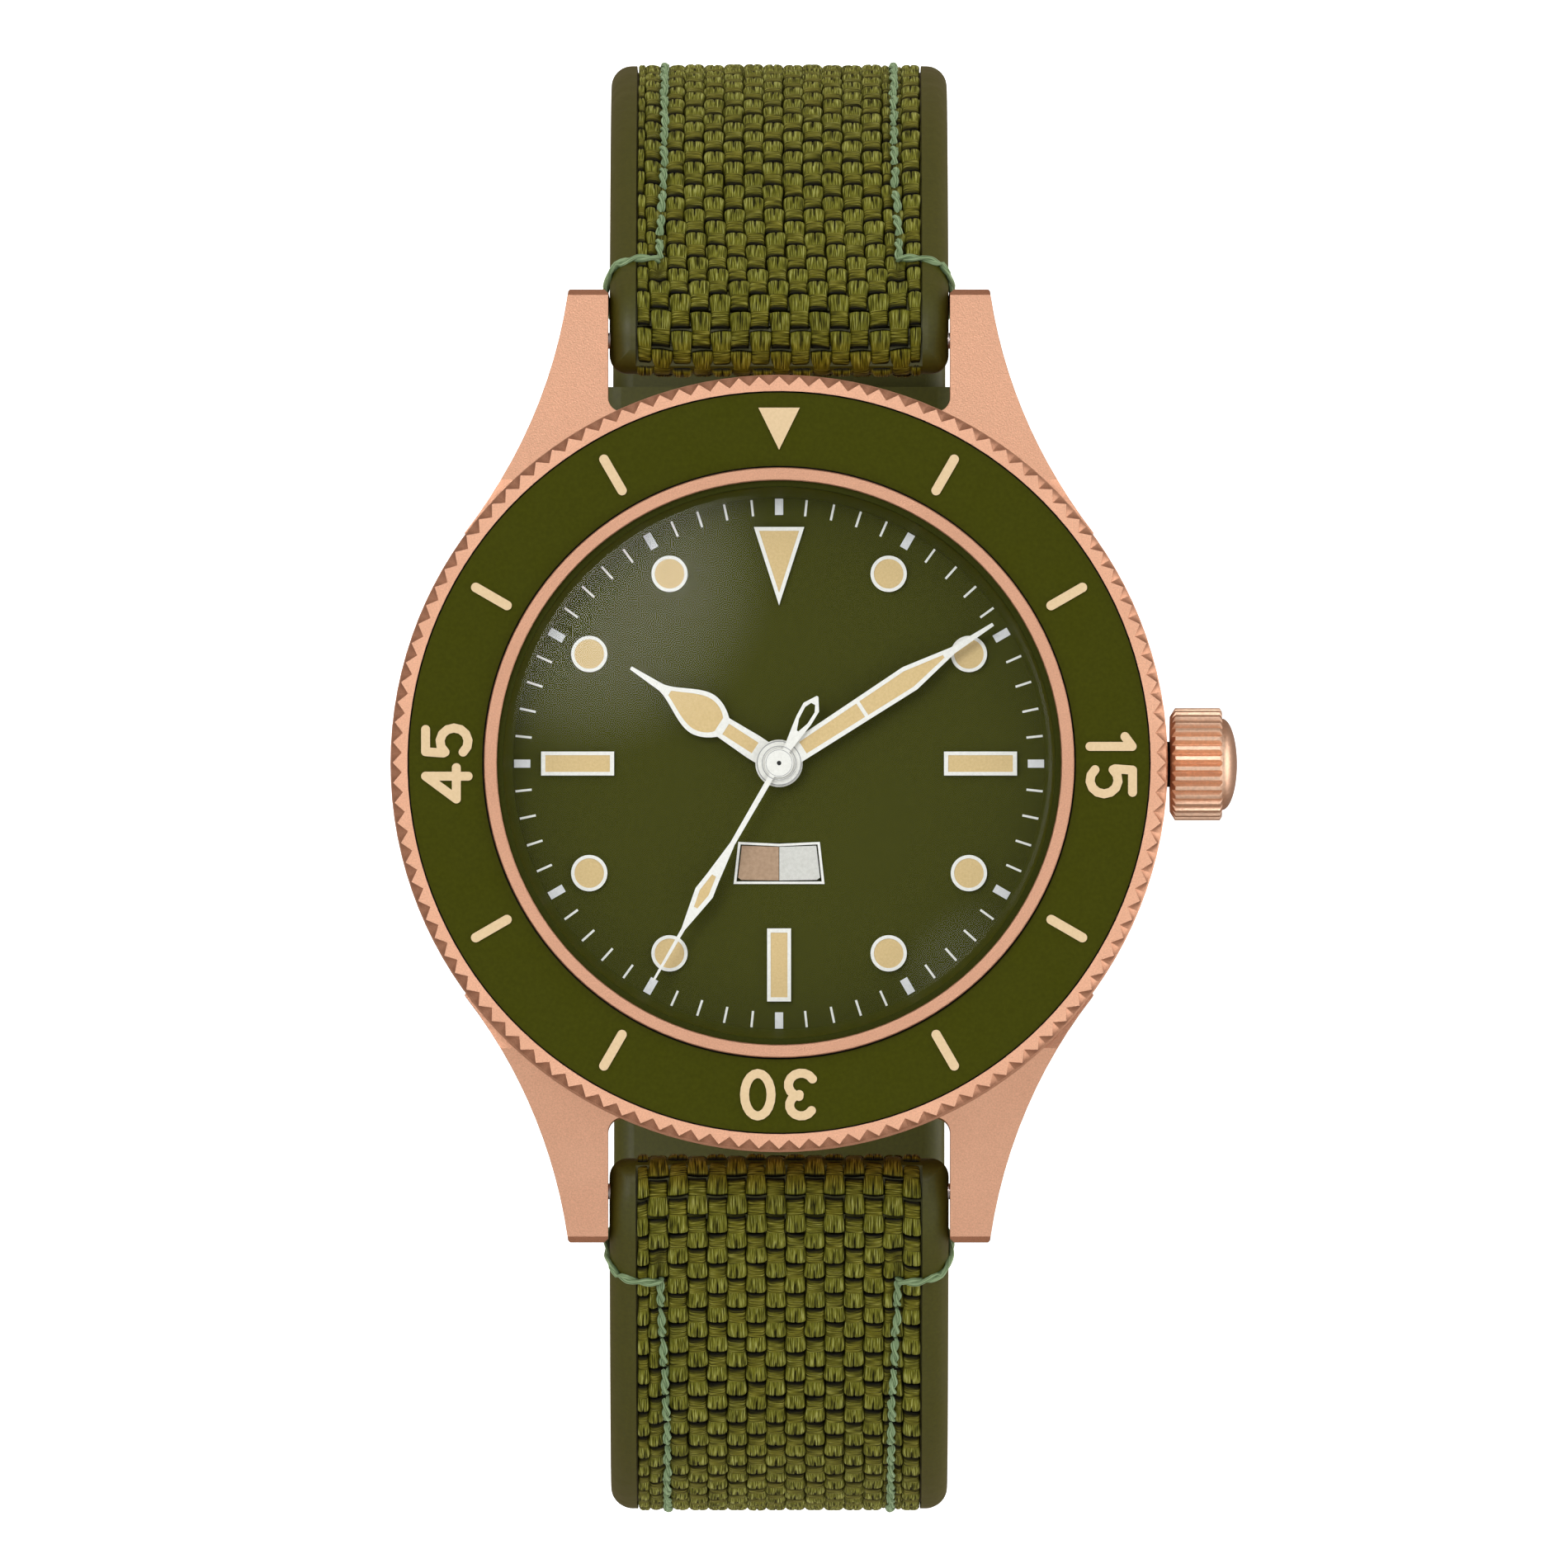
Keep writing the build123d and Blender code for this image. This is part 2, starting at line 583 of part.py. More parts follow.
# ---------------------------------------------------------------- hands
HOUR_ANGLE = -57.2
MINUTE_ANGLE = 57.0
SECOND_ANGLE = 210.0


def mirrored(half):
    """Full outline from one half given as (radius, across) pairs."""
    return half + [(r, -a) for r, a in reversed(half)]


HOUR_TUBE_R = 0.8
CANNON_R = 0.45
SECOND_PIN_R = 0.12
HOUR_HAND_Z = (10.0, 10.2)
MINUTE_HAND_Z = (10.5, 10.7)
SECOND_HAND_Z = (10.95, 11.1)
LUME_DROP = 0.04

HOUR_ARM = [(0.0, 0.62), (1.6, 0.66), (3.5, 0.58)]
HOUR_LEAF = [(3.5, 0.58), (4.05, 0.97), (4.8, 1.18), (5.6, 1.0), (6.5, 0.55), (7.4, 0.2)]
HOUR_LEAF_LUME = [(3.78, 0.42), (4.2, 0.76), (4.8, 0.92), (5.5, 0.78), (6.2, 0.46), (6.86, 0.14)]
HOUR_ARM_LUME = [(1.5, 0.33), (3.35, 0.33)]
MINUTE_HALF = [(0.0, 0.58), (1.5, 0.6), (8.23, 0.7), (10.9, 0.19), (13.45, 0.09)]
MINUTE_LUME = [
    mirrored([(1.5, 0.36), (5.13, 0.42)]),
    mirrored([(5.33, 0.43), (8.15, 0.48), (10.35, 0.08)]),
]
SECOND_HALF = [(0.0, 0.15), (4.9, 0.13), (7.0, 0.38), (7.9, 0.52), (8.75, 0.36), (10.1, 0.1), (13.2, 0.06)]
SECOND_LUME = [mirrored([(6.85, 0.12), (7.9, 0.27), (8.8, 0.1)])]



def along(hand_angle, z):
    """Plane at a height whose X axis points along a hand."""
    x, y = clock_point(1, 0, hand_angle)
    return Plane(origin=(0, 0, z), x_dir=(x, y, 0), z_dir=(0, 0, 1))


with BuildPart() as hour_hand_lume:
    with BuildSketch(along(HOUR_ANGLE, HOUR_HAND_Z[0])):
        Polygon(*mirrored(HOUR_ARM_LUME), align=None)
        with BuildLine():
            Spline(*HOUR_LEAF_LUME)
            Line(HOUR_LEAF_LUME[-1], (HOUR_LEAF_LUME[-1][0], 0))
            Line((HOUR_LEAF_LUME[0][0], 0), HOUR_LEAF_LUME[0])
            mirror(about=Plane.XZ)
        make_face()
    extrude(amount=HOUR_HAND_Z[1] - HOUR_HAND_Z[0] - LUME_DROP)
save(hour_hand_lume, "hour_hand_lume")

with BuildPart() as hour_hand:
    with BuildSketch(along(HOUR_ANGLE, HOUR_HAND_Z[0])):
        with BuildLine():
            Polyline((0, 0), *HOUR_ARM)
            Spline(*HOUR_LEAF)
            Polyline(HOUR_LEAF[-1], (9.3, 0.09), (9.3, 0))
            mirror(about=Plane.XZ)
        make_face()
        Circle(1.25)
        Circle(HOUR_TUBE_R, mode=Mode.SUBTRACT)
        Polygon(*mirrored(HOUR_ARM_LUME), align=None, mode=Mode.SUBTRACT)
        with BuildLine():
            Spline(*HOUR_LEAF_LUME)
            Line(HOUR_LEAF_LUME[-1], (HOUR_LEAF_LUME[-1][0], 0))
            Line((HOUR_LEAF_LUME[0][0], 0), HOUR_LEAF_LUME[0])
            mirror(about=Plane.XZ)
        make_face(mode=Mode.SUBTRACT)
    extrude(amount=HOUR_HAND_Z[1] - HOUR_HAND_Z[0])
save(hour_hand, "hour_hand")

with BuildPart() as minute_hand:
    with BuildSketch(Plane.XY.offset(MINUTE_HAND_Z[0])):
        clock_polygon(mirrored(MINUTE_HALF), MINUTE_ANGLE)
        Circle(1.12)
        Circle(CANNON_R, mode=Mode.SUBTRACT)
        for outline in MINUTE_LUME:
            clock_polygon(outline, MINUTE_ANGLE, mode=Mode.SUBTRACT)
    extrude(amount=MINUTE_HAND_Z[1] - MINUTE_HAND_Z[0])
    disc(0.93, MINUTE_HAND_Z[1], MINUTE_HAND_Z[1] + 0.12)
    disc(CANNON_R, MINUTE_HAND_Z[1] - 1, MINUTE_HAND_Z[1] + 1, mode=Mode.SUBTRACT)
save(minute_hand, "minute_hand")

with BuildPart() as minute_hand_lume:
    with BuildSketch(Plane.XY.offset(MINUTE_HAND_Z[0])):
        for outline in MINUTE_LUME:
            clock_polygon(outline, MINUTE_ANGLE)
    extrude(amount=MINUTE_HAND_Z[1] - MINUTE_HAND_Z[0] - LUME_DROP)
save(minute_hand_lume, "minute_hand_lume")

TAIL = [(0, 0.17), (-0.9, 0.2), (-2.1, 0.38), (-2.6, 0.45), (-3.4, 0.47), (-4.06, 0.05)]
TAIL_HOLE = [(-1.95, 0.05), (-2.55, 0.26), (-3.25, 0.29), (-3.6, 0.12)]
with BuildPart() as seconds_hand:
    with BuildSketch(Plane.XY.offset(SECOND_HAND_Z[0])):
        clock_polygon(mirrored(SECOND_HALF), SECOND_ANGLE)
        clock_polygon(mirrored(TAIL), SECOND_ANGLE)
        Circle(0.76)
        Circle(SECOND_PIN_R, mode=Mode.SUBTRACT)
        for outline in SECOND_LUME + [mirrored(TAIL_HOLE)]:
            clock_polygon(outline, SECOND_ANGLE, mode=Mode.SUBTRACT)
    extrude(amount=SECOND_HAND_Z[1] - SECOND_HAND_Z[0])
save(seconds_hand, "seconds_hand")

with BuildPart() as seconds_hand_lume:
    with BuildSketch(Plane.XY.offset(SECOND_HAND_Z[0])):
        for outline in SECOND_LUME:
            clock_polygon(outline, SECOND_ANGLE)
    extrude(amount=SECOND_HAND_Z[1] - SECOND_HAND_Z[0] - LUME_DROP)
save(seconds_hand_lume, "seconds_hand_lume")


# ---------------------------------------------------------------- movement
BARREL_TURN = 110.0
THIRD_TURN = 240.0
ESCAPE_TURN = 310.0
MINUTE_TURN = 200.0
BARREL_AT = polar((BARREL_TEETH + CENTRE_PINION_TEETH) * BARREL_MODULE / 2, BARREL_TURN)
TRAIN_DISTANCE = (CENTRE_TEETH + THIRD_PINION_TEETH) * TRAIN_MODULE / 2
THIRD_AT = polar(TRAIN_DISTANCE, THIRD_TURN)
THIRD_MODULE = 2 * TRAIN_DISTANCE / (THIRD_TEETH + FOURTH_PINION_TEETH)
ESCAPE_AT = polar((FOURTH_TEETH + ESCAPE_PINION_TEETH) * TRAIN_MODULE / 2, ESCAPE_TURN)
BALANCE_AT = polar(8.5, ESCAPE_TURN)
PALLET_AT = polar(6.75, ESCAPE_TURN)
MINUTE_MODULE = 0.125
MINUTE_DISTANCE = (CANNON_TEETH + MINUTE_TEETH) * MINUTE_MODULE / 2
HOUR_MODULE = 2 * MINUTE_DISTANCE / (MINUTE_PINION_TEETH + HOUR_TEETH)
MINUTE_AT = polar(MINUTE_DISTANCE, MINUTE_TURN)
SCREW_SPOTS = [polar(12.2, 35), polar(12.2, 180), polar(12.2, 235)]
COCK_FOOT = polar(11.6, ESCAPE_TURN - 13)
COCK_PILLAR = polar(12.05, ESCAPE_TURN - 14.5)


def gap_at(teeth, direction):
    """Tooth direction that leaves a gap centred on the given direction."""
    return direction + FULL_TURN / teeth / 2


with BuildPart() as movement_holder:
    disc(MOVEMENT_BORE_R - 0.03, 4.8, DIAL_LEDGE)
    disc(PLATE_R + 0.03, 4, 10, mode=Mode.SUBTRACT)
    bar_x(0.8, 12, 16, 0, STEM_Z, mode=Mode.SUBTRACT)
save(movement_holder, "movement_holder")

with BuildPart() as main_plate:
    disc(PLATE_R, PLATE_BOTTOM, PLATE_TOP)
    disc(0.52, 0, 10, mode=Mode.SUBTRACT)
    brick(5.0, PLATE_R + 1, -1.3, 1.3, PLATE_BOTTOM - 1, PLATE_TOP + 1, mode=Mode.SUBTRACT)
    for at in (THIRD_AT, ESCAPE_AT, PALLET_AT, BALANCE_AT):
        disc(PIVOT_HOLE_R, 0, 10, at, mode=Mode.SUBTRACT)
    disc(PIVOT_HOLE_R + 0.1, 0, 10, MINUTE_AT, mode=Mode.SUBTRACT)
    disc(0.32, 0, 10, BARREL_AT, mode=Mode.SUBTRACT)
    disc(0.2, PLATE_TOP, 8.62, (GROOVE_X, LEVER_Y))
    for at in SCREW_SPOTS:
        disc(0.45, PLATE_BOTTOM - 1, PLATE_BOTTOM + 0.9, at, mode=Mode.SUBTRACT)
save(main_plate, "main_plate")

with BuildPart() as train_bridge:
    disc(PLATE_R, BRIDGE_BOTTOM, PLATE_BOTTOM)
    disc(12.5, BRIDGE_TOP, PLATE_BOTTOM + 1, mode=Mode.SUBTRACT)
    for at in SCREW_SPOTS:
        disc(0.8, BRIDGE_BOTTOM, PLATE_BOTTOM, at)
        disc(0.45, 0, 10, at, mode=Mode.SUBTRACT)
        disc(0.72, 0, BRIDGE_BOTTOM + 0.35, at, mode=Mode.SUBTRACT)
    disc(4.3, 0, 10, BALANCE_AT, mode=Mode.SUBTRACT)
    disc(1.0, 0, 10, COCK_PILLAR, mode=Mode.SUBTRACT)
    brick(5.0, PLATE_R + 1, -1.3, 1.3, BRIDGE_TOP, PLATE_BOTTOM + 1, mode=Mode.SUBTRACT)
    disc(1.0, 2.9, BRIDGE_BOTTOM)
    disc(PIVOT_HOLE_R + 0.04, 0, 10, mode=Mode.SUBTRACT)
    disc(0.32, 0, 10, BARREL_AT, mode=Mode.SUBTRACT)
    for at in (THIRD_AT, ESCAPE_AT):
        disc(PIVOT_HOLE_R, 0, 10, at, mode=Mode.SUBTRACT)
save(train_bridge, "train_bridge")

with BuildPart() as balance_cock:
    with BuildSketch(Plane.XY.offset(BRIDGE_BOTTOM)):
        lean = math.degrees(math.atan2(COCK_FOOT[1] - BALANCE_AT[1], COCK_FOOT[0] - BALANCE_AT[0]))
        middle = ((COCK_FOOT[0] + BALANCE_AT[0]) / 2, (COCK_FOOT[1] + BALANCE_AT[1]) / 2)
        with Locations(middle):
            SlotCenterToCenter(math.dist(COCK_FOOT, BALANCE_AT), 1.6, rotation=lean)
    extrude(amount=0.5)
    disc(0.5, BRIDGE_BOTTOM, PLATE_BOTTOM, COCK_PILLAR)
    disc(PIVOT_HOLE_R, 0, 10, BALANCE_AT, mode=Mode.SUBTRACT)
save(balance_cock, "balance_cock")

with BuildPart() as movement_screws:
    for at in SCREW_SPOTS:
        disc(0.44, BRIDGE_BOTTOM + 0.2, PLATE_BOTTOM + 0.85, at)
        disc(0.68, BRIDGE_BOTTOM - 0.05, BRIDGE_BOTTOM + 0.3, at)
        brick(at[0] - 0.7, at[0] + 0.7, at[1] - 0.09, at[1] + 0.09, BRIDGE_BOTTOM - 0.1, BRIDGE_BOTTOM + 0.1,
              mode=Mode.SUBTRACT)
save(movement_screws, "movement_screws")

with BuildPart() as barrel:
    with BuildSketch(Plane.XY.offset(6.45)):
        Polygon(*tooth_ring(BARREL_TEETH, BARREL_MODULE, BARREL_TURN + 180, BARREL_AT), align=None)
    extrude(amount=0.2)
    disc(5.3, 5.75, 6.5, BARREL_AT)
    disc(5.05, 5.9, 6.5, BARREL_AT, mode=Mode.SUBTRACT)
    disc(1.3, 5.75, 6.6, BARREL_AT)
    disc(0.3, 4.85, 7.9, BARREL_AT)
save(barrel, "barrel")

with BuildPart() as centre_wheel:
    with BuildSketch(Plane.XY.offset(6.85)):
        Polygon(*tooth_ring(CENTRE_TEETH, TRAIN_MODULE, THIRD_TURN), align=None)
    extrude(amount=0.15)
    with BuildSketch(Plane.XY.offset(6.8)):
        for window in windows(1.3, 3.3):
            Polygon(*window, align=None)
    extrude(amount=0.3, mode=Mode.SUBTRACT)
    with BuildSketch(Plane.XY.offset(6.38)):
        pinion_gap = gap_at(CENTRE_PINION_TEETH, BARREL_TURN)
        Polygon(*tooth_ring(CENTRE_PINION_TEETH, BARREL_MODULE, pinion_gap), align=None)
    extrude(amount=0.52)
    with BuildSketch(Plane.XY.offset(8.45)):
        Polygon(*tooth_ring(CANNON_TEETH, MINUTE_MODULE, MINUTE_TURN), align=None)
    extrude(amount=0.23)
    disc(CANNON_R, 6.38, MINUTE_HAND_Z[1])
    disc(0.15, 0, 12, mode=Mode.SUBTRACT)
save(centre_wheel, "centre_wheel")

with BuildPart() as third_wheel:
    with BuildSketch(Plane.XY.offset(6.7)):
        pinion_gap = gap_at(THIRD_PINION_TEETH, THIRD_TURN + 180)
        Polygon(*tooth_ring(THIRD_PINION_TEETH, TRAIN_MODULE, pinion_gap, THIRD_AT), align=None)
    extrude(amount=0.38)
    with BuildSketch(Plane.XY.offset(6.05)):
        Polygon(*tooth_ring(THIRD_TEETH, THIRD_MODULE, THIRD_TURN + 180, THIRD_AT), align=None)
    extrude(amount=0.15)
    with BuildSketch(Plane.XY.offset(6.0)):
        for window in windows(0.9, 3.2, THIRD_AT):
            Polygon(*window, align=None)
    extrude(amount=0.3, mode=Mode.SUBTRACT)
    disc(PIVOT_R, 5.0, 7.9, THIRD_AT)
save(third_wheel, "third_wheel")

with BuildPart() as fourth_wheel:
    with BuildSketch(Plane.XY.offset(5.9)):
        pinion_gap = gap_at(FOURTH_PINION_TEETH, THIRD_TURN)
        Polygon(*tooth_ring(FOURTH_PINION_TEETH, THIRD_MODULE, pinion_gap), align=None)
    extrude(amount=0.4)
    with BuildSketch(Plane.XY.offset(5.5)):
        Polygon(*tooth_ring(FOURTH_TEETH, TRAIN_MODULE, ESCAPE_TURN), align=None)
    extrude(amount=0.15)
    with BuildSketch(Plane.XY.offset(5.4)):
        for window in windows(0.8, 3.3):
            Polygon(*window, align=None)
    extrude(amount=0.3, mode=Mode.SUBTRACT)
    disc(SECOND_PIN_R, 4.9, SECOND_HAND_Z[0] + 0.04)
save(fourth_wheel, "fourth_wheel")

ESCAPE_TIPS = 15
with BuildPart() as escape_wheel:
    with BuildSketch(Plane.XY.offset(5.45)):
        pinion_gap = gap_at(ESCAPE_PINION_TEETH, ESCAPE_TURN + 180)
        Polygon(*tooth_ring(ESCAPE_PINION_TEETH, TRAIN_MODULE, pinion_gap, ESCAPE_AT), align=None)
    extrude(amount=0.3)
    with BuildSketch(Plane.XY.offset(6.35)):
        hooks = []
        for i in range(ESCAPE_TIPS):
            start = ESCAPE_TURN + 12 + i * FULL_TURN / ESCAPE_TIPS
            hooks += [polar(1.1, start), polar(1.55, start + 5)]
            hooks += [polar(1.55, start + 7), polar(1.15, start + 12)]
        Polygon(*[(ESCAPE_AT[0] + x, ESCAPE_AT[1] + y) for x, y in hooks], align=None)
    extrude(amount=0.15)
    with BuildSketch(Plane.XY.offset(6.3)):
        for window in windows(0.35, 0.9, ESCAPE_AT, width=0.2):
            Polygon(*window, align=None)
    extrude(amount=0.3, mode=Mode.SUBTRACT)
    disc(PIVOT_R, 5.0, 7.9, ESCAPE_AT)
save(escape_wheel, "escape_wheel")

STONE_SPOTS = [polar(4.4 + 1.35, ESCAPE_TURN + 11), polar(4.4 + 1.35, ESCAPE_TURN - 11)]
with BuildPart() as pallet_fork:
    with BuildSketch(Plane.XY.offset(6.35)):
        for end in STONE_SPOTS:
            lean = math.degrees(math.atan2(end[1] - PALLET_AT[1], end[0] - PALLET_AT[0]))
            with Locations(((end[0] + PALLET_AT[0]) / 2, (end[1] + PALLET_AT[1]) / 2)):
                SlotCenterToCenter(math.dist(end, PALLET_AT), 0.22, rotation=lean)
        with Locations(polar(7.25, ESCAPE_TURN)):
            SlotCenterToCenter(1.0, 0.18, rotation=ESCAPE_TURN)
        for side in (-1, 1):
            with Locations(polar(7.9, ESCAPE_TURN + side * 1.15)):
                SlotCenterToCenter(0.2, 0.1, rotation=ESCAPE_TURN)
        with Locations(polar(7.75, ESCAPE_TURN)):
            SlotCenterToCenter(0.3, 0.12, rotation=ESCAPE_TURN + 90)
    extrude(amount=0.15)
    disc(PIVOT_R, 6.1, 7.9, PALLET_AT)
save(pallet_fork, "pallet_fork")

with BuildPart() as balance_wheel:
    disc(3.5, 5.55, 5.8, BALANCE_AT)
    with BuildSketch(Plane.XY.offset(5.5)):
        for window in windows(0.5, 3.1, BALANCE_AT, count=3, turn=60, width=0.4):
            Polygon(*window, align=None)
    extrude(amount=0.4, mode=Mode.SUBTRACT)
    disc(0.32, 6.0, 6.2, BALANCE_AT)
    disc(PIVOT_R, 4.9, 7.9, BALANCE_AT)
    disc(0.05, 6.1, 6.45, polar(8.5 - 0.25, ESCAPE_TURN))
save(balance_wheel, "balance_wheel")

COIL_TURNS = 4
COIL_STEPS = 60
with BuildPart() as hairspring:
    with BuildSketch(Plane.XY.offset(5.36)):
        outer = []
        inner = []
        for i in range(COIL_TURNS * COIL_STEPS + 1):
            turn = i * FULL_TURN / COIL_STEPS
            radius = 0.35 + 0.4 * i / COIL_STEPS
            x, y = polar(radius, turn)
            outer.append((BALANCE_AT[0] + x, BALANCE_AT[1] + y))
            x, y = polar(radius - 0.08, turn)
            inner.append((BALANCE_AT[0] + x, BALANCE_AT[1] + y))
        Polygon(*outer, *inner[::-1], align=None)
    extrude(amount=0.12)
save(hairspring, "hairspring")

with BuildPart() as minute_wheel:
    with BuildSketch(Plane.XY.offset(8.48)):
        pinion_gap = gap_at(MINUTE_TEETH, MINUTE_TURN + 180)
        Polygon(*tooth_ring(MINUTE_TEETH, MINUTE_MODULE, pinion_gap, MINUTE_AT), align=None)
    extrude(amount=0.17)
    with BuildSketch(Plane.XY.offset(8.6)):
        Polygon(*tooth_ring(MINUTE_PINION_TEETH, HOUR_MODULE, MINUTE_TURN + 180, MINUTE_AT), align=None)
    extrude(amount=0.38)
    disc(0.18, 7.5, 8.98, MINUTE_AT)
save(minute_wheel, "minute_wheel")

with BuildPart() as hour_wheel:
    with BuildSketch(Plane.XY.offset(8.78)):
        Polygon(*tooth_ring(HOUR_TEETH, HOUR_MODULE, gap_at(HOUR_TEETH, MINUTE_TURN)), align=None)
    extrude(amount=0.17)
    disc(HOUR_TUBE_R, 8.78, HOUR_HAND_Z[1])
    disc(CANNON_R + 0.04, 0, 12, mode=Mode.SUBTRACT)
save(hour_wheel, "hour_wheel")

ROTOR_R = 12.6
with BuildPart() as rotor:
    disc(ROTOR_R, 3.1, 4.3)
    disc(9.6, 3.45, 5, mode=Mode.SUBTRACT)
    brick(-14, 14, 1.6, 14, 2, 5, mode=Mode.SUBTRACT)
    disc(2.2, 3.1, 4.3)
    disc(1.04, 2, 5, mode=Mode.SUBTRACT)
    with BuildSketch(Plane.XY.offset(2)):
        for turn in (230, 270, 310):
            with Locations(polar(5.9, turn)):
                SlotCenterToCenter(2.6, 1.6, rotation=turn)
    extrude(amount=3, mode=Mode.SUBTRACT)
save(rotor, "rotor")


# ---------------------------------------------------------------- spring bars
TUBE_HALF = 7.7
TIP_END = 10.0
for side, where in ((1, "upper"), (-1, "lower")):
    with BuildPart() as spring_bar:
        bar_x(0.8, -TUBE_HALF, TUBE_HALF, side * BAR_Y, BAR_Z)
        bar_x(0.45, -TUBE_HALF - 1, TUBE_HALF + 1, side * BAR_Y, BAR_Z, mode=Mode.SUBTRACT)
    save(spring_bar, f"spring_bar_{where}")
    for hand, name in ((-1, "left"), (1, "right")):
        ends = sorted((hand * 5.5, hand * TIP_END))
        collar = sorted((hand * 8.72, hand * 8.97))
        with BuildPart() as spring_bar_tip:
            bar_x(0.42, ends[0], ends[1], side * BAR_Y, BAR_Z)
            bar_x(0.72, collar[0], collar[1], side * BAR_Y, BAR_Z)
        save(spring_bar_tip, f"spring_bar_tip_{where}_{name}")


# ---------------------------------------------------------------- strap
END_R = STRAP_T / 2
BUCKLE_PIN_R = 0.75
CORNER_R = 1.0
NOSE_R = 1.25

# Each half goes over its spring bar, down a slope (in degrees), turns straight down, curls under and
# lies flat.
UPPER = {
    "side": 1, "slope": 52.0, "slope_run": 9.35, "hip_r": 30.0, "drop": 7.1, "curl": 12.0, "flat": 18.0,
}
LOWER = {
    "side": -1, "slope": 43.5, "slope_run": 10.05, "hip_r": 20.0, "drop": 17.65, "curl": 19.5, "flat": 35.0,
}


def slope_start(half):
    """Distance from the axis and height at the top of the slope."""
    slope = math.radians(half["slope"])
    return (SHOULDER_Y + SHOULDER_R * math.sin(slope), BAR_Z - SHOULDER_R * (1 - math.cos(slope)))


def slope_end(half):
    """Distance from the axis and height at the foot of the slope."""
    slope = math.radians(half["slope"])
    y, z = slope_start(half)
    return (y + half["slope_run"] * math.cos(slope), z - half["slope_run"] * math.sin(slope))


def hip(half):
    """Distance from the axis and height where the strap has turned straight down."""
    slope = math.radians(half["slope"])
    y, z = slope_end(half)
    return (y + half["hip_r"] * (1 - math.sin(slope)), z - half["hip_r"] * math.cos(slope))


def end_of(half):
    """Distance from the axis and height of the far end."""
    y, z = hip(half)
    return (y - half["curl"] - half["flat"], z - half["drop"] - half["curl"])


def draw_slope(half, start_y, start_z):
    """Draws the centre line down the slope and round to straight down."""
    side = half["side"]
    slope = math.radians(half["slope"])
    foot_y, foot_z = slope_end(half)
    Line((side * start_y, start_z), (side * foot_y, foot_z))
    JernArc(start=(side * foot_y, foot_z), tangent=(side * math.cos(slope), -math.sin(slope)),
            radius=half["hip_r"], arc_size=-side * (90 - half["slope"]))


def draw_half(half, start_y, shorter):
    """Draws the centre line of a strap half, with its flat end cut shorter by a length."""
    side, drop, curl = half["side"], half["drop"], half["curl"]
    hip_y, hip_z = hip(half)
    Line((side * start_y, BAR_Z), (side * SHOULDER_Y, BAR_Z))
    JernArc(start=(side * SHOULDER_Y, BAR_Z), tangent=(side, 0), radius=SHOULDER_R,
            arc_size=-side * half["slope"])
    draw_slope(half, *slope_start(half))
    Line((side * hip_y, hip_z), (side * hip_y, hip_z - drop))
    JernArc(start=(side * hip_y, hip_z - drop), tangent=(0, -1), radius=curl, arc_size=-side * 90)
    foot = (side * (hip_y - curl), hip_z - drop - curl)
    Line(foot, (foot[0] - side * (half["flat"] - shorter), foot[1]))


BUCKLE_Y, BUCKLE_Z = end_of(UPPER)
FABRIC_T = FABRIC_SINK + FABRIC_PROUD
FABRIC_MIDDLE = STRAP_T / 2 - FABRIC_SINK + FABRIC_T / 2
FABRIC_START_Y = STRAP_START_Y + NOSE_R
FABRIC_SHORT = 4.0
HOLE_R = 1.1
HOLE_COUNT = 6
HOLE_STEP = 6.0
HOLE_START = 8.0
SLOT_W = 3.4


def tail_holes(half):
    """Cuts the adjustment holes through the flat tail."""
    tail_y, tail_z = end_of(half)
    for k in range(HOLE_COUNT):
        at = (0, half["side"] * (tail_y + HOLE_START + k * HOLE_STEP))
        disc(HOLE_R, tail_z - STRAP_T, tail_z + STRAP_T, at, mode=Mode.SUBTRACT)


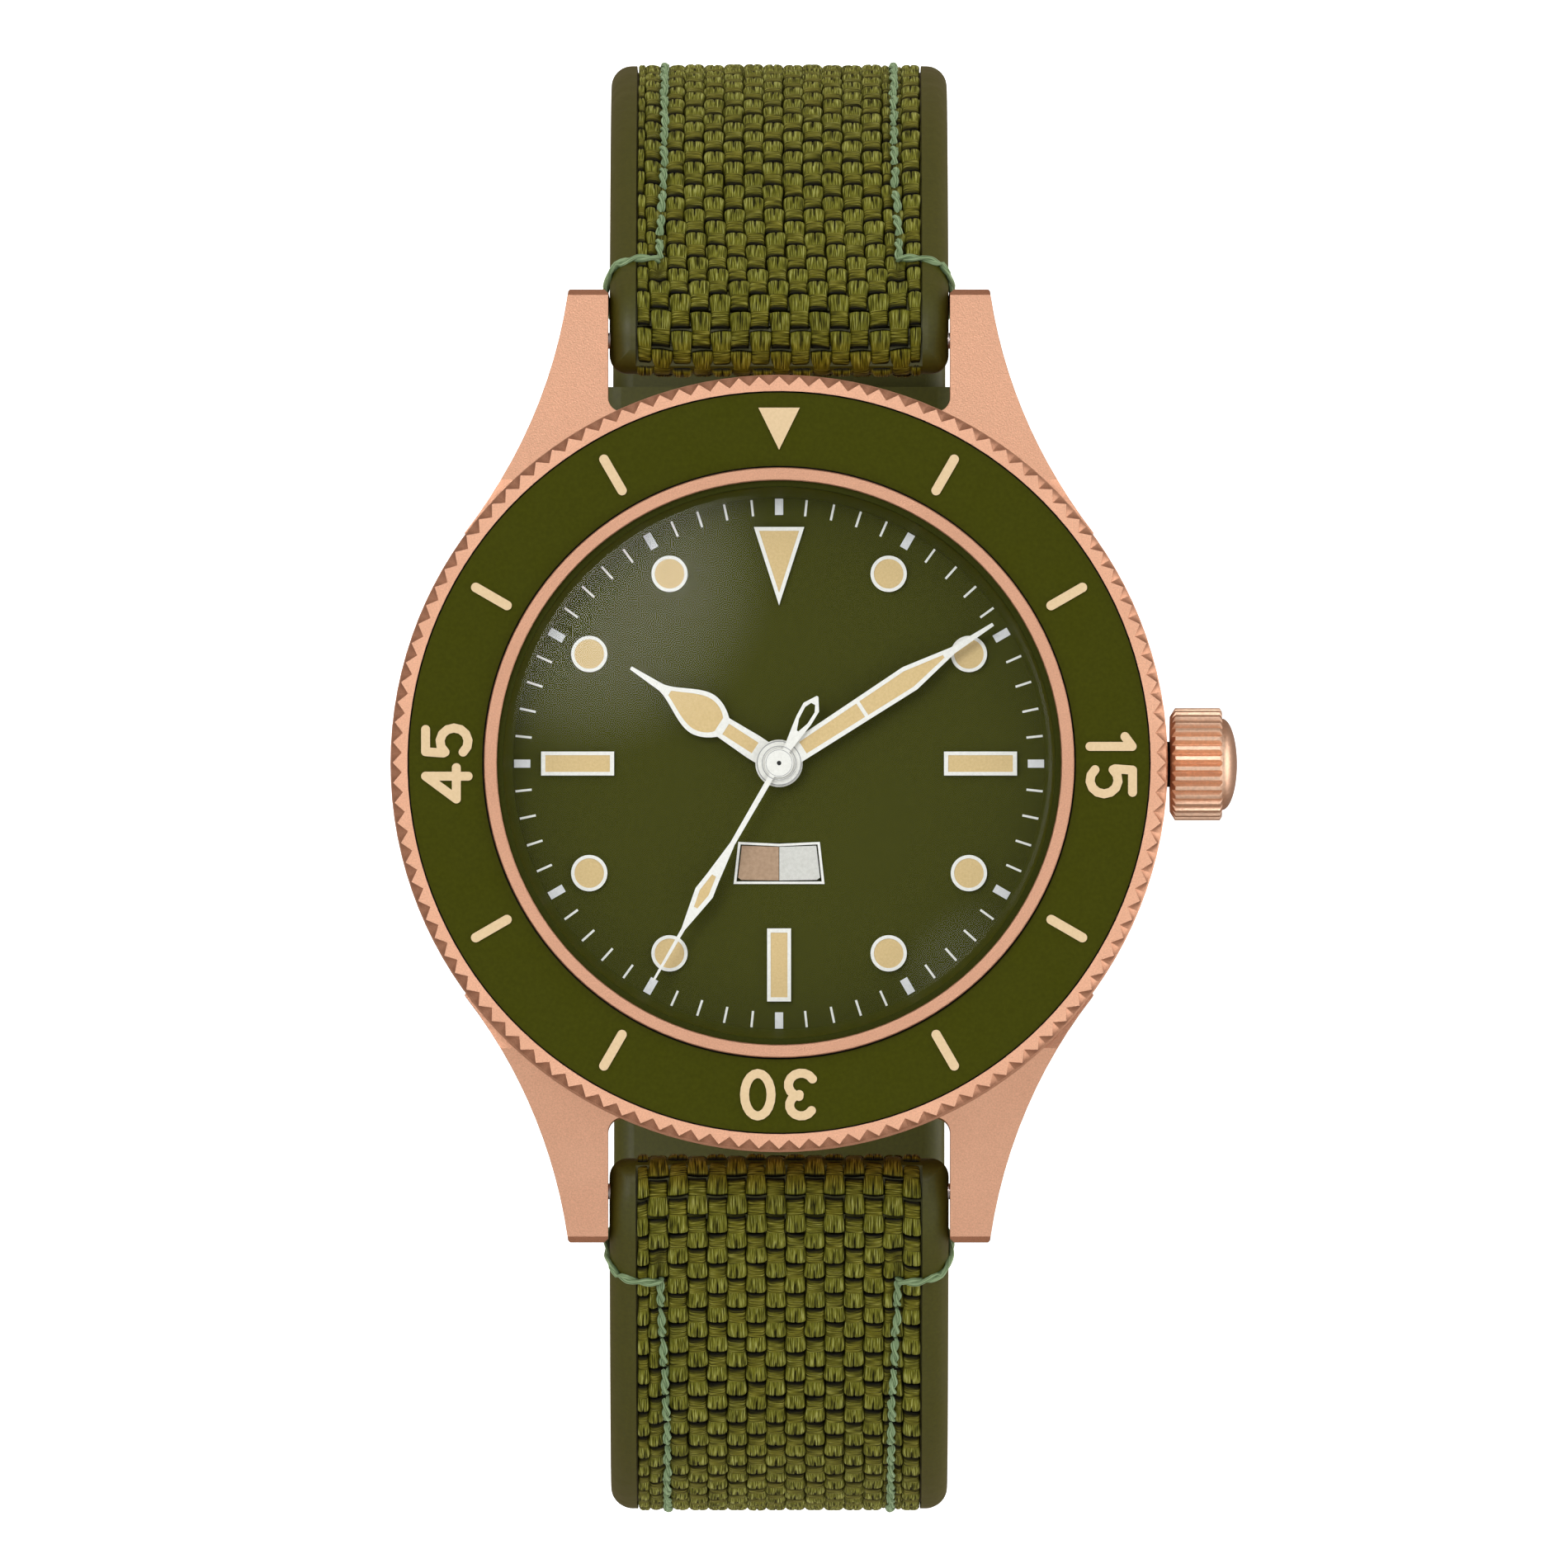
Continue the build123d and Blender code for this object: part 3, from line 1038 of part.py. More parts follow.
for half, where in ((UPPER, "upper"), (LOWER, "lower")):
    side = half["side"]
    nose_y = side * (STRAP_START_Y + NOSE_R / 2)
    corner_y = side * (STRAP_START_Y + CORNER_R / 2)
    face_up = Plane(origin=(0, side * STRAP_START_Y, BAR_Z), x_dir=(side, 0, 0), z_dir=(0, side, 0))
    with BuildPart() as strap:
        with BuildLine(Plane.YZ) as strap_run:
            draw_half(half, STRAP_START_Y, 0)
        with BuildSketch(face_up):
            RectangleRounded(STRAP_W, STRAP_T, 1.1)
            with Locations((0, -STRAP_T / 2 + FABRIC_SINK / 2 - 0.05)):
                Rectangle(FABRIC_W + 0.06, FABRIC_SINK + 0.1, mode=Mode.SUBTRACT)
        sweep(path=strap_run.wires()[0])
        # The end beside the case is rounded like a nose and at its two corners.
        with BuildSketch(Plane.YZ.offset(-STRAP_W)):
            for up in (-1, 1):
                with Locations((nose_y, BAR_Z + up * (STRAP_T - NOSE_R) / 2)):
                    Rectangle(NOSE_R, NOSE_R)
            for up in (-1, 1):
                with Locations((side * (STRAP_START_Y + NOSE_R), BAR_Z + up * (STRAP_T / 2 - NOSE_R))):
                    Circle(NOSE_R, mode=Mode.SUBTRACT)
        extrude(amount=2 * STRAP_W, mode=Mode.SUBTRACT)
        with BuildSketch(Plane.XY.offset(BAR_Z - STRAP_T)):
            for hand in (-1, 1):
                with Locations((hand * (STRAP_W - CORNER_R) / 2, corner_y)):
                    Rectangle(CORNER_R, CORNER_R)
                with Locations((hand * (STRAP_W / 2 - CORNER_R), side * (STRAP_START_Y + CORNER_R))):
                    Circle(CORNER_R, mode=Mode.SUBTRACT)
        extrude(amount=2 * STRAP_T, mode=Mode.SUBTRACT)
        bar_x(0.83, -12, 12, side * BAR_Y, BAR_Z, mode=Mode.SUBTRACT)
        if half is UPPER:
            bar_x(END_R, -STRAP_W / 2 + 0.3, STRAP_W / 2 - 0.3, BUCKLE_Y, BUCKLE_Z)
            brick(-SLOT_W / 2, SLOT_W / 2, BUCKLE_Y - 3, BUCKLE_Y + 3.4, BUCKLE_Z - 3, BUCKLE_Z + 3,
                  mode=Mode.SUBTRACT)
            bar_x(BUCKLE_PIN_R, -12, 12, BUCKLE_Y, BUCKLE_Z, mode=Mode.SUBTRACT)
        else:
            tail_holes(half)
    save(strap, f"strap_{where}")
    with BuildPart() as strap_fabric:
        with BuildLine(Plane.YZ) as fabric_run:
            draw_half(half, FABRIC_START_Y, FABRIC_SHORT)
        with BuildSketch(face_up.offset(FABRIC_START_Y - STRAP_START_Y)):
            with Locations((0, -FABRIC_MIDDLE)):
                Rectangle(FABRIC_W, FABRIC_T)
        sweep(path=fabric_run.wires()[0])
        if half is LOWER:
            tail_holes(half)
    save(strap_fabric, f"strap_fabric_{where}")

THREAD_R = 0.28
THREAD_TOP = STRAP_T / 2 + FABRIC_PROUD + THREAD_R / 2
SEAM_OFFSET = 1.2
for half, where in ((UPPER, "upper"), (LOWER, "lower")):
    # The seam starts where the strap has begun its slope and ends above the curl.
    side = half["side"]
    slope = math.radians(half["slope"])
    hip_y, hip_z = hip(half)
    top_y, top_z = slope_start(half)
    seam_y = top_y + SEAM_OFFSET * math.cos(slope)
    seam_z = top_z - SEAM_OFFSET * math.sin(slope)
    across_seam = Plane(origin=(0, side * seam_y, seam_z), x_dir=(side, 0, 0),
                        z_dir=(0, side * math.cos(slope), -math.sin(slope)))
    with BuildPart() as strap_thread:
        with BuildLine(Plane.YZ) as thread_run:
            draw_slope(half, seam_y, seam_z)
            Line((side * hip_y, hip_z), (side * hip_y, hip_z - half["drop"]))
        with BuildSketch(across_seam):
            with Locations((-side * THREAD_X, -THREAD_TOP), (side * THREAD_X, -THREAD_TOP)):
                Rectangle(2 * THREAD_R, THREAD_R)
        sweep(path=thread_run.wires()[0])
    save(strap_thread, f"strap_thread_{where}")


# ---------------------------------------------------------------- buckle and keepers
FRAME_IN = 9.25
FRAME_OUT = 11.4
FRAME_BACK = BUCKLE_Y + 1.9
FRAME_FRONT = BUCKLE_Y - 12.0
FRAME_LIP = BUCKLE_Y - 9.7
FRAME_HALF = 1.2
with BuildPart() as buckle_frame:
    with BuildSketch(Plane.XY.offset(BUCKLE_Z - FRAME_HALF)):
        with Locations((0, (FRAME_BACK + FRAME_FRONT) / 2)):
            RectangleRounded(2 * FRAME_OUT, FRAME_BACK - FRAME_FRONT, 1.8)
        with Locations((0, (FRAME_BACK + 5 + FRAME_LIP) / 2)):
            RectangleRounded(2 * FRAME_IN, FRAME_BACK + 5 - FRAME_LIP, 0.8, mode=Mode.SUBTRACT)
    extrude(amount=2 * FRAME_HALF)
    bar_x(BUCKLE_PIN_R + 0.03, -12, 12, BUCKLE_Y, BUCKLE_Z, mode=Mode.SUBTRACT)
save(buckle_frame, "buckle_frame")

with BuildPart() as buckle_bar:
    bar_x(BUCKLE_PIN_R, -FRAME_OUT + 0.3, FRAME_OUT - 0.3, BUCKLE_Y, BUCKLE_Z)
save(buckle_bar, "buckle_bar")

TONGUE_HALF = 0.9
with BuildPart() as buckle_tongue:
    with BuildSketch(Plane.YZ.offset(-TONGUE_HALF)):
        with Locations((BUCKLE_Y, BUCKLE_Z)):
            Circle(1.35)
        Polygon(
            (BUCKLE_Y - 0.6, BUCKLE_Z - 1.2), (BUCKLE_Y - 3.0, BUCKLE_Z - 2.2),
            (FRAME_FRONT + 0.2, BUCKLE_Z - 2.1), (FRAME_FRONT - 0.1, BUCKLE_Z - 1.5),
            (FRAME_FRONT + 0.4, BUCKLE_Z - FRAME_HALF - 0.03),
            (BUCKLE_Y - 3.2, BUCKLE_Z - FRAME_HALF - 0.03), (BUCKLE_Y - 0.9, BUCKLE_Z + 0.6), align=None,
        )
    extrude(amount=2 * TONGUE_HALF)
    bar_x(BUCKLE_PIN_R + 0.03, -2, 2, BUCKLE_Y, BUCKLE_Z, mode=Mode.SUBTRACT)
save(buckle_tongue, "buckle_tongue")

KEEPER_IN = STRAP_W / 2 + 0.25
KEEPER_TOP = STRAP_T / 2 + 0.12
KEEPER_DEPTH = STRAP_T / 2 + 4.0
for keeper_y, name in ((BUCKLE_Y + 6.2, "keeper_fixed"), (BUCKLE_Y + 12.6, "keeper_free")):
    with BuildPart() as keeper:
        with BuildSketch(Plane.XZ.offset(-keeper_y - 2.3)):
            with Locations((0, BUCKLE_Z + (KEEPER_TOP - KEEPER_DEPTH) / 2)):
                RectangleRounded(2 * KEEPER_IN + 2.4, KEEPER_TOP + KEEPER_DEPTH + 2.4, 1.9)
                RectangleRounded(2 * KEEPER_IN, KEEPER_TOP + KEEPER_DEPTH, 0.9, mode=Mode.SUBTRACT)
        extrude(amount=4.6)
    save(keeper, name)
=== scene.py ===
"""Looks of the dive watch: materials, woven strap faces, sewing thread, dial print, light and camera."""

import math
import random

import bpy
import numpy as np
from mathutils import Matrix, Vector


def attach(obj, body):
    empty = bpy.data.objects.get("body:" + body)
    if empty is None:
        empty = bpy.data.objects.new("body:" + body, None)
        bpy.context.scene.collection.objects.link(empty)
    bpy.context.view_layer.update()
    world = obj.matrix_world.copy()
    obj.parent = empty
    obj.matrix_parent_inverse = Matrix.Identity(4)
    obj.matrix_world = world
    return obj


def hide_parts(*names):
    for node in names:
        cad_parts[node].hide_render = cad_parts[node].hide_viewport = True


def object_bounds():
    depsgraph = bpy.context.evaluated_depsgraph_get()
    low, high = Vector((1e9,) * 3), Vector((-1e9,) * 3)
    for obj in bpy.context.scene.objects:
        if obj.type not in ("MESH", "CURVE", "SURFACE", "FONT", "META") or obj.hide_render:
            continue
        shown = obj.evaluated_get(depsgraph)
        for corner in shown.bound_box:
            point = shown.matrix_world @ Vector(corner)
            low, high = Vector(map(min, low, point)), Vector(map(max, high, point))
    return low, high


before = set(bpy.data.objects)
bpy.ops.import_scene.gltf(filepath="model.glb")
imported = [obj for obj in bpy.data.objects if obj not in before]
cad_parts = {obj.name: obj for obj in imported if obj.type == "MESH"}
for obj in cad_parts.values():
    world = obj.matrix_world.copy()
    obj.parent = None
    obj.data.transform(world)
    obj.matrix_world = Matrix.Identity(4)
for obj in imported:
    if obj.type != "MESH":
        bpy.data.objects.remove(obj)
cad_box = [list(map(float, corner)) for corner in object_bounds()]
MM = 0.001

# ------------------------------------------------------------------ strap centre line, in millimetres
# The same line as the CAD straps: level beside the case, over a shoulder, down a slope, round a hip,
# straight down, round a curl and level again. Side 1 is the upper half, side -1 the lower one.
BAR_Z = 3.1
STRAP_T = 3.2
START_Y = 20.75
SHOULDER_Y = 22.7
SHOULDER_R = 2.0
NOSE_R = 1.25
NOSE_HEIGHT = STRAP_T / 2 - NOSE_R
HALVES = {
    1: {
        "name": "upper", "slope": 52.0, "slope_run": 9.35, "hip_r": 30.0,
        "drop": 7.1, "curl": 12.0, "flat": 18.0,
    },
    -1: {
        "name": "lower", "slope": 43.5, "slope_run": 10.05, "hip_r": 20.0,
        "drop": 17.65, "curl": 19.5, "flat": 35.0,
    },
}


def line_pieces(side):
    """Lengths and turn radii of the strap's centre line, from its end beside the case."""
    half = HALVES[side]
    slope = math.radians(half["slope"])
    return [
        (SHOULDER_Y - START_Y, None),
        (SHOULDER_R * slope, SHOULDER_R),
        (half["slope_run"], None),
        (half["hip_r"] * (math.pi / 2 - slope), half["hip_r"]),
        (half["drop"], None),
        (half["curl"] * math.pi / 2, half["curl"]),
        (half["flat"], None),
    ]


def strap_point(side, s, off, x):
    """Point on a strap half: s along the centre line, off outward from it, x across. Metres."""
    if s < NOSE_R:
        turn = (s - NOSE_R) / NOSE_R
        radius = off - NOSE_HEIGHT
        y = START_Y + NOSE_R + radius * math.sin(turn)
        z = BAR_Z + NOSE_HEIGHT + radius * math.cos(turn)
        return (x * MM, side * y * MM, z * MM)
    y, z, turn = START_Y, BAR_Z, 0.0
    left = s
    for length, radius in line_pieces(side):
        step = min(left, length)
        if radius is None:
            y += step * math.cos(turn)
            z -= step * math.sin(turn)
        else:
            after = turn + step / radius
            y += radius * (math.sin(after) - math.sin(turn))
            z -= radius * (math.cos(turn) - math.cos(after))
            turn = after
        left -= step
        if left <= 0:
            break
    y += off * math.sin(turn)
    z += off * math.cos(turn)
    return (x * MM, side * y * MM, z * MM)


def face_growth(radius):
    """How much longer the outer face is than the centre line, on a piece of this radius."""
    return 1.0 if radius is None else (radius + STRAP_T / 2) / radius


def line_at(side, run):
    """Centre-line length at a length measured on the outer face."""
    s = 0.0
    for length, radius in line_pieces(side):
        grow = face_growth(radius)
        if run <= length * grow:
            return s + run / grow
        run -= length * grow
        s += length
    return s + run


def face_length(side):
    """Length of a strap half along its outer face."""
    return sum(length * face_growth(radius) for length, radius in line_pieces(side))


# ------------------------------------------------------------------ small helpers
def new_material(name):
    """An empty node material with its main shader."""
    material = bpy.data.materials.new(name)
    material.use_nodes = True
    nodes, links = material.node_tree.nodes, material.node_tree.links
    return material, nodes, links, nodes["Principled BSDF"]


def noise(nodes, links, scale, detail=3.0, vector=None, stretch=None):
    """A noise texture in object coordinates, optionally stretched."""
    texture = nodes.new("ShaderNodeTexNoise")
    texture.inputs["Scale"].default_value = scale
    texture.inputs["Detail"].default_value = detail
    if vector is None:
        vector = nodes.new("ShaderNodeTexCoord").outputs["Object"]
    if stretch is not None:
        mapping = nodes.new("ShaderNodeMapping")
        mapping.inputs["Scale"].default_value = stretch
        links.new(vector, mapping.inputs["Vector"])
        vector = mapping.outputs["Vector"]
    links.new(vector, texture.inputs["Vector"])
    return texture.outputs["Fac"]


def ramp(nodes, links, source, stops):
    """A colour ramp from (position, colour) pairs."""
    node = nodes.new("ShaderNodeValToRGB")
    while len(node.color_ramp.elements) < len(stops):
        node.color_ramp.elements.new(0.5)
    for element, (position, colour) in zip(node.color_ramp.elements, stops):
        element.position = position
        element.color = (*colour, 1.0)
    links.new(source, node.inputs["Fac"])
    return node.outputs["Color"]


def spread(nodes, links, source, low, high):
    """Maps 0.3..0.7, where a noise mostly lies, to a range."""
    node = nodes.new("ShaderNodeMapRange")
    node.inputs["From Min"].default_value = 0.3
    node.inputs["From Max"].default_value = 0.7
    node.inputs["To Min"].default_value = low
    node.inputs["To Max"].default_value = high
    links.new(source, node.inputs["Value"])
    return node.outputs["Result"]


def bump(nodes, links, source, strength, distance, base=None):
    """A relief of a height in metres, on top of another normal if one is given."""
    node = nodes.new("ShaderNodeBump")
    node.inputs["Strength"].default_value = strength
    node.inputs["Distance"].default_value = distance
    links.new(source, node.inputs["Height"])
    if base is not None:
        links.new(base, node.inputs["Normal"])
    return node.outputs["Normal"]


def metal(name, colour, roughness, grain, grain_depth, stretch=None, edge=0.0):
    """Blasted or brushed metal: fine grain, broad changes of gloss, edges rounded by a radius in metres."""
    material, nodes, links, shader = new_material(name)
    shader.inputs["Metallic"].default_value = 1.0
    fine = noise(nodes, links, grain, 4.0, stretch=stretch)
    broad = noise(nodes, links, grain * 0.02 + 60, 2.0)
    dark = tuple(c * 0.88 for c in colour)
    light = tuple(min(1.0, c * 1.08) for c in colour)
    links.new(ramp(nodes, links, fine, [(0.3, dark), (0.7, light)]), shader.inputs["Base Color"])
    links.new(spread(nodes, links, broad, roughness - 0.04, roughness + 0.05), shader.inputs["Roughness"])
    soft = None
    if edge:
        rounded = nodes.new("ShaderNodeBevel")
        rounded.samples = 4
        rounded.inputs["Radius"].default_value = edge
        soft = rounded.outputs["Normal"]
    links.new(bump(nodes, links, fine, 0.5, grain_depth, soft), shader.inputs["Normal"])
    return material


def matte(name, low, high, roughness, grain, grain_depth, coat=0.0, specular=0.5):
    """Paint, rubber or lume that wavers between two colours."""
    material, nodes, links, shader = new_material(name)
    fine = noise(nodes, links, grain, 5.0)
    links.new(ramp(nodes, links, fine, [(0.3, low), (0.7, high)]), shader.inputs["Base Color"])
    broad = noise(nodes, links, grain * 0.1 + 50, 2.0)
    links.new(spread(nodes, links, broad, roughness - 0.05, roughness + 0.06), shader.inputs["Roughness"])
    shader.inputs["Coat Weight"].default_value = coat
    shader.inputs["Coat Roughness"].default_value = 0.08
    shader.inputs["Specular IOR Level"].default_value = specular
    links.new(bump(nodes, links, fine, 0.4, grain_depth), shader.inputs["Normal"])
    return material


def srgb(r, g, b):
    """Linear colour from 0-255 screen values."""
    out = []
    for value in (r, g, b):
        v = value / 255
        out.append(v / 12.92 if v <= 0.04045 else ((v + 0.055) / 1.055) ** 2.4)
    return tuple(out)


def build(name, verts, faces, material, body, uvs=None, extra=None, smooth=True):
    """Makes one mesh piece riding on a body."""
    mesh = bpy.data.meshes.new(name)
    mesh.from_pydata(verts, [], faces)
    if smooth:
        mesh.polygons.foreach_set("use_smooth", [True] * len(mesh.polygons))
    if uvs is not None:
        layer = mesh.uv_layers.new(name="fibres")
        index = np.empty(len(mesh.loops), dtype=np.int32)
        mesh.loops.foreach_get("vertex_index", index)
        layer.data.foreach_set("uv", np.asarray(uvs, dtype=np.float32)[index].ravel())
    for key, values in (extra or {}).items():
        layer = mesh.attributes.new(key, "FLOAT", "POINT")
        layer.data.foreach_set("value", np.asarray(values, dtype=np.float32))
    mesh.update()
    obj = bpy.data.objects.new(name, mesh)
    bpy.context.scene.collection.objects.link(obj)
    obj.data.materials.append(material)
    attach(obj, body)
    return obj


# ------------------------------------------------------------------ materials
ROSE = (0.78, 0.43, 0.28)
rose_satin = metal("rose_satin", ROSE, 0.40, 12000, 0.00003, edge=0.00005)
# The ring and the rim are darker copies of the case's rose gold, a painted shade; the crown is a lighter,
# paler copy, painted light.
rose_ring_painted_shade = metal("rose_ring_painted_shade", (0.55, 0.30, 0.195), 0.46, 12000, 0.000025, edge=0.00003)
rose_rim_painted_shade = metal("rose_rim_painted_shade", (0.68, 0.38, 0.25), 0.52, 12000, 0.000025, edge=0.00003)
rose_crown_painted_light = metal("rose_crown_painted_light", (0.84, 0.56, 0.40), 0.38, 6000, 0.00002, edge=0.00005)
steel_satin = metal("steel_satin", (0.55, 0.55, 0.56), 0.32, 7000, 0.000006)
steel_brushed = metal("steel_brushed", (0.58, 0.58, 0.6), 0.28, 3000, 0.000006, stretch=(1, 12, 1))
brass_satin = metal("brass_satin", (0.78, 0.6, 0.3), 0.28, 7000, 0.000005)
insert_green = matte("insert_green", srgb(57, 59, 2), srgb(63, 65, 4), 0.35, 5000, 0.000002,
                     coat=0.04, specular=0.04)
dial_green = matte("dial_green", srgb(60, 62, 13), srgb(68, 69, 18), 0.5, 9000, 0.000004, specular=0.04)
flange_green = matte("flange_green", srgb(64, 66, 15), srgb(71, 73, 19), 0.5, 8000, 0.000004, specular=0.04)
gasket_olive = matte("gasket_olive", srgb(46, 49, 10), srgb(52, 55, 13), 0.6, 8000, 0.000004, specular=0.04)
bezel_cream = matte("bezel_cream", srgb(215, 189, 148), srgb(223, 197, 157), 0.6, 7000, 0.00001, specular=0.2)
lume_cream = matte("lume_cream", srgb(212, 184, 132), srgb(222, 195, 144), 0.65, 8000, 0.000012, specular=0.2)
white_paint = matte("white_paint", srgb(232, 231, 226), srgb(244, 243, 239), 0.35, 6000, 0.000003)
tick_white = matte("tick_white", srgb(236, 236, 230), srgb(246, 246, 242), 0.5, 7000, 0.000003)
tick_silver = matte("tick_silver", srgb(222, 223, 226), srgb(234, 235, 238), 0.35, 6000, 0.000003)
black_rubber = matte("black_rubber", (0.004, 0.004, 0.003), (0.007, 0.006, 0.005), 0.8, 4000, 0.00001,
                     specular=0.05)
strap_rubber = matte("strap_rubber", srgb(60, 59, 8), srgb(67, 66, 11), 0.44, 5000, 0.000004, specular=0.3)
# Nearly black: painted shade of the gaps between the woven strands.
ground_painted_shade = matte("fabric_backing", srgb(10, 9, 1), srgb(15, 13, 2), 0.9, 3000, 0.00002, specular=0.0)
# The crown tube is painted near black: painted shade of the gap between the crown and the case.
tube_painted_shade = matte("tube_painted_shade", srgb(20, 17, 14), srgb(34, 28, 24), 0.7, 3000, 0.000005, specular=0.1)
# Grey: painted shade of the turned steps on the hands' hubs. Black: painted shade of the hole at the seconds
# arbor's end.
hub_painted_shade = matte("hub_painted_shade", srgb(148, 148, 150), srgb(166, 166, 168), 0.5, 6000, 0.000003)
arbor_painted_shade = matte("arbor_painted_shade", srgb(12, 12, 12), srgb(22, 22, 22), 0.6, 6000, 0.000003)


def paper_material():
    """Two papers side by side under the moisture window: tan on the left, white on the right."""
    material, nodes, links, shader = new_material("indicator_paper")
    fibre = noise(nodes, links, 6000, 6.0)
    left = ramp(nodes, links, fibre, [(0.3, srgb(168, 138, 112)), (0.7, srgb(184, 154, 128))])
    right = ramp(nodes, links, fibre, [(0.3, srgb(204, 203, 198)), (0.7, srgb(218, 217, 213))])
    place = nodes.new("ShaderNodeSeparateXYZ")
    links.new(nodes.new("ShaderNodeTexCoord").outputs["Object"], place.inputs["Vector"])
    half = nodes.new("ShaderNodeMath")
    half.operation = "GREATER_THAN"
    half.inputs[1].default_value = 0.0
    links.new(place.outputs["X"], half.inputs[0])
    mix = nodes.new("ShaderNodeMix")
    mix.data_type = "RGBA"
    links.new(half.outputs["Value"], mix.inputs["Factor"])
    links.new(left, mix.inputs["A"])
    links.new(right, mix.inputs["B"])
    links.new(mix.outputs["Result"], shader.inputs["Base Color"])
    shader.inputs["Roughness"].default_value = 0.8
    links.new(bump(nodes, links, fibre, 0.5, 0.00001), shader.inputs["Normal"])
    return material


def crystal_material():
    """Clear mineral glass with a faint, slightly smeared shine."""
    material = bpy.data.materials.new("crystal_clear")
    material.use_nodes = True
    nodes, links = material.node_tree.nodes, material.node_tree.links
    nodes.clear()
    output = nodes.new("ShaderNodeOutputMaterial")
    clear = nodes.new("ShaderNodeBsdfTransparent")
    clear.inputs["Color"].default_value = (0.985, 0.99, 0.985, 1)
    shine = nodes.new("ShaderNodeBsdfGlossy")
    shine.inputs["Color"].default_value = (1, 1, 1, 1)
    smear = noise(nodes, links, 300, 2.0)
    links.new(spread(nodes, links, smear, 0.015, 0.04), shine.inputs["Roughness"])
    fresnel = nodes.new("ShaderNodeFresnel")
    fresnel.inputs["IOR"].default_value = 1.2
    # Only the outside of the dome shines.
    outside = nodes.new("ShaderNodeMath")
    outside.operation = "SUBTRACT"
    outside.inputs[0].default_value = 1.0
    links.new(nodes.new("ShaderNodeNewGeometry").outputs["Backfacing"], outside.inputs[1])
    amount = nodes.new("ShaderNodeMath")
    amount.operation = "MULTIPLY"
    links.new(fresnel.outputs["Fac"], amount.inputs[0])
    links.new(outside.outputs["Value"], amount.inputs[1])
    mix = nodes.new("ShaderNodeMixShader")
    links.new(amount.outputs["Value"], mix.inputs["Fac"])
    links.new(clear.outputs["BSDF"], mix.inputs[1])
    links.new(shine.outputs["BSDF"], mix.inputs[2])
    links.new(mix.outputs["Shader"], output.inputs["Surface"])
    return material


def attribute_ramp(nodes, links, key, stops):
    """A colour ramp driven by a value stored on the mesh."""
    stored = nodes.new("ShaderNodeAttribute")
    stored.attribute_name = key
    return ramp(nodes, links, stored.outputs["Fac"], stops)


def multiply(nodes, links, base, factor):
    """Product of two colours."""
    mix = nodes.new("ShaderNodeMix")
    mix.data_type = "RGBA"
    mix.blend_type = "MULTIPLY"
    mix.inputs["Factor"].default_value = 1.0
    links.new(base, mix.inputs["A"])
    links.new(factor, mix.inputs["B"])
    return mix.outputs["Result"]


def fibre_material(name, tones, fibres, painted_shade, tint_and_case_reflection, relief):
    """Bundles of fibres: streaks along each strand, tinted (near the strap's case end the tint is a painted
    reflection of the case), and painted shade where little light gets in.
    """
    material, nodes, links, shader = new_material(name)
    uv = nodes.new("ShaderNodeUVMap")
    uv.uv_map = "fibres"
    streak = noise(nodes, links, fibres, 3.0, vector=uv.outputs["UV"], stretch=(1.0, 0.06, 1.0))
    base = ramp(nodes, links, streak, tones)
    tone = noise(nodes, links, 700, 3.0)
    patches = ramp(nodes, links, tone, [(0.3, (0.82, 0.84, 0.80)), (0.7, (1.0, 1.0, 1.0))])
    base = multiply(nodes, links, base, patches)
    base = multiply(nodes, links, base, attribute_ramp(nodes, links, "light", painted_shade))
    base = multiply(nodes, links, base, attribute_ramp(nodes, links, "tint_and_case_reflection", tint_and_case_reflection))
    links.new(base, shader.inputs["Base Color"])
    links.new(spread(nodes, links, streak, 0.62, 0.44), shader.inputs["Roughness"])
    shader.inputs["Specular IOR Level"].default_value = 0.1
    links.new(bump(nodes, links, streak, 1.0, relief), shader.inputs["Normal"])
    return material


NO_TINT = [(0.0, (1.0, 1.0, 1.0)), (1.0, (1.0, 1.0, 1.0))]
WEAVE_TONES = [
    (0.34, srgb(38, 37, 1)), (0.47, srgb(94, 93, 20)),
    (0.56, srgb(121, 120, 41)), (0.71, srgb(174, 174, 101)),
]
# Painted shade of the weave: black deep in the gaps, full light on top of the floats.
WEAVE_PAINTED_SHADE = [(0.0, (0.004, 0.004, 0.002)), (0.5, (0.3, 0.29, 0.22)), (1.0, (1.0, 1.0, 1.0))]
# Tint: about 0.5 is the yellowish crosswise strands; towards 1 is a painted reflection of the rose-gold case
# near the strap's case end.
WEAVE_TINT_AND_CASE_REFLECTION = [(0.0, (0.98, 1.0, 1.0)), (0.5, (1.0, 0.93, 0.6)), (1.0, (0.85, 0.5, 0.22))]
weave_olive = fibre_material("weave_olive", WEAVE_TONES, 17, WEAVE_PAINTED_SHADE, WEAVE_TINT_AND_CASE_REFLECTION, 0.00007)

THREAD_TONES = [(0.32, srgb(84, 107, 72)), (0.68, srgb(164, 186, 144))]
# Painted light on the thread: darker underneath, full light on top.
THREAD_PAINTED_SHADE = [(0.0, (0.2, 0.24, 0.16)), (0.6, (1.0, 1.0, 1.0))]
thread_sage = fibre_material("thread_sage", THREAD_TONES, 7, THREAD_PAINTED_SHADE, NO_TINT, 0.00005)

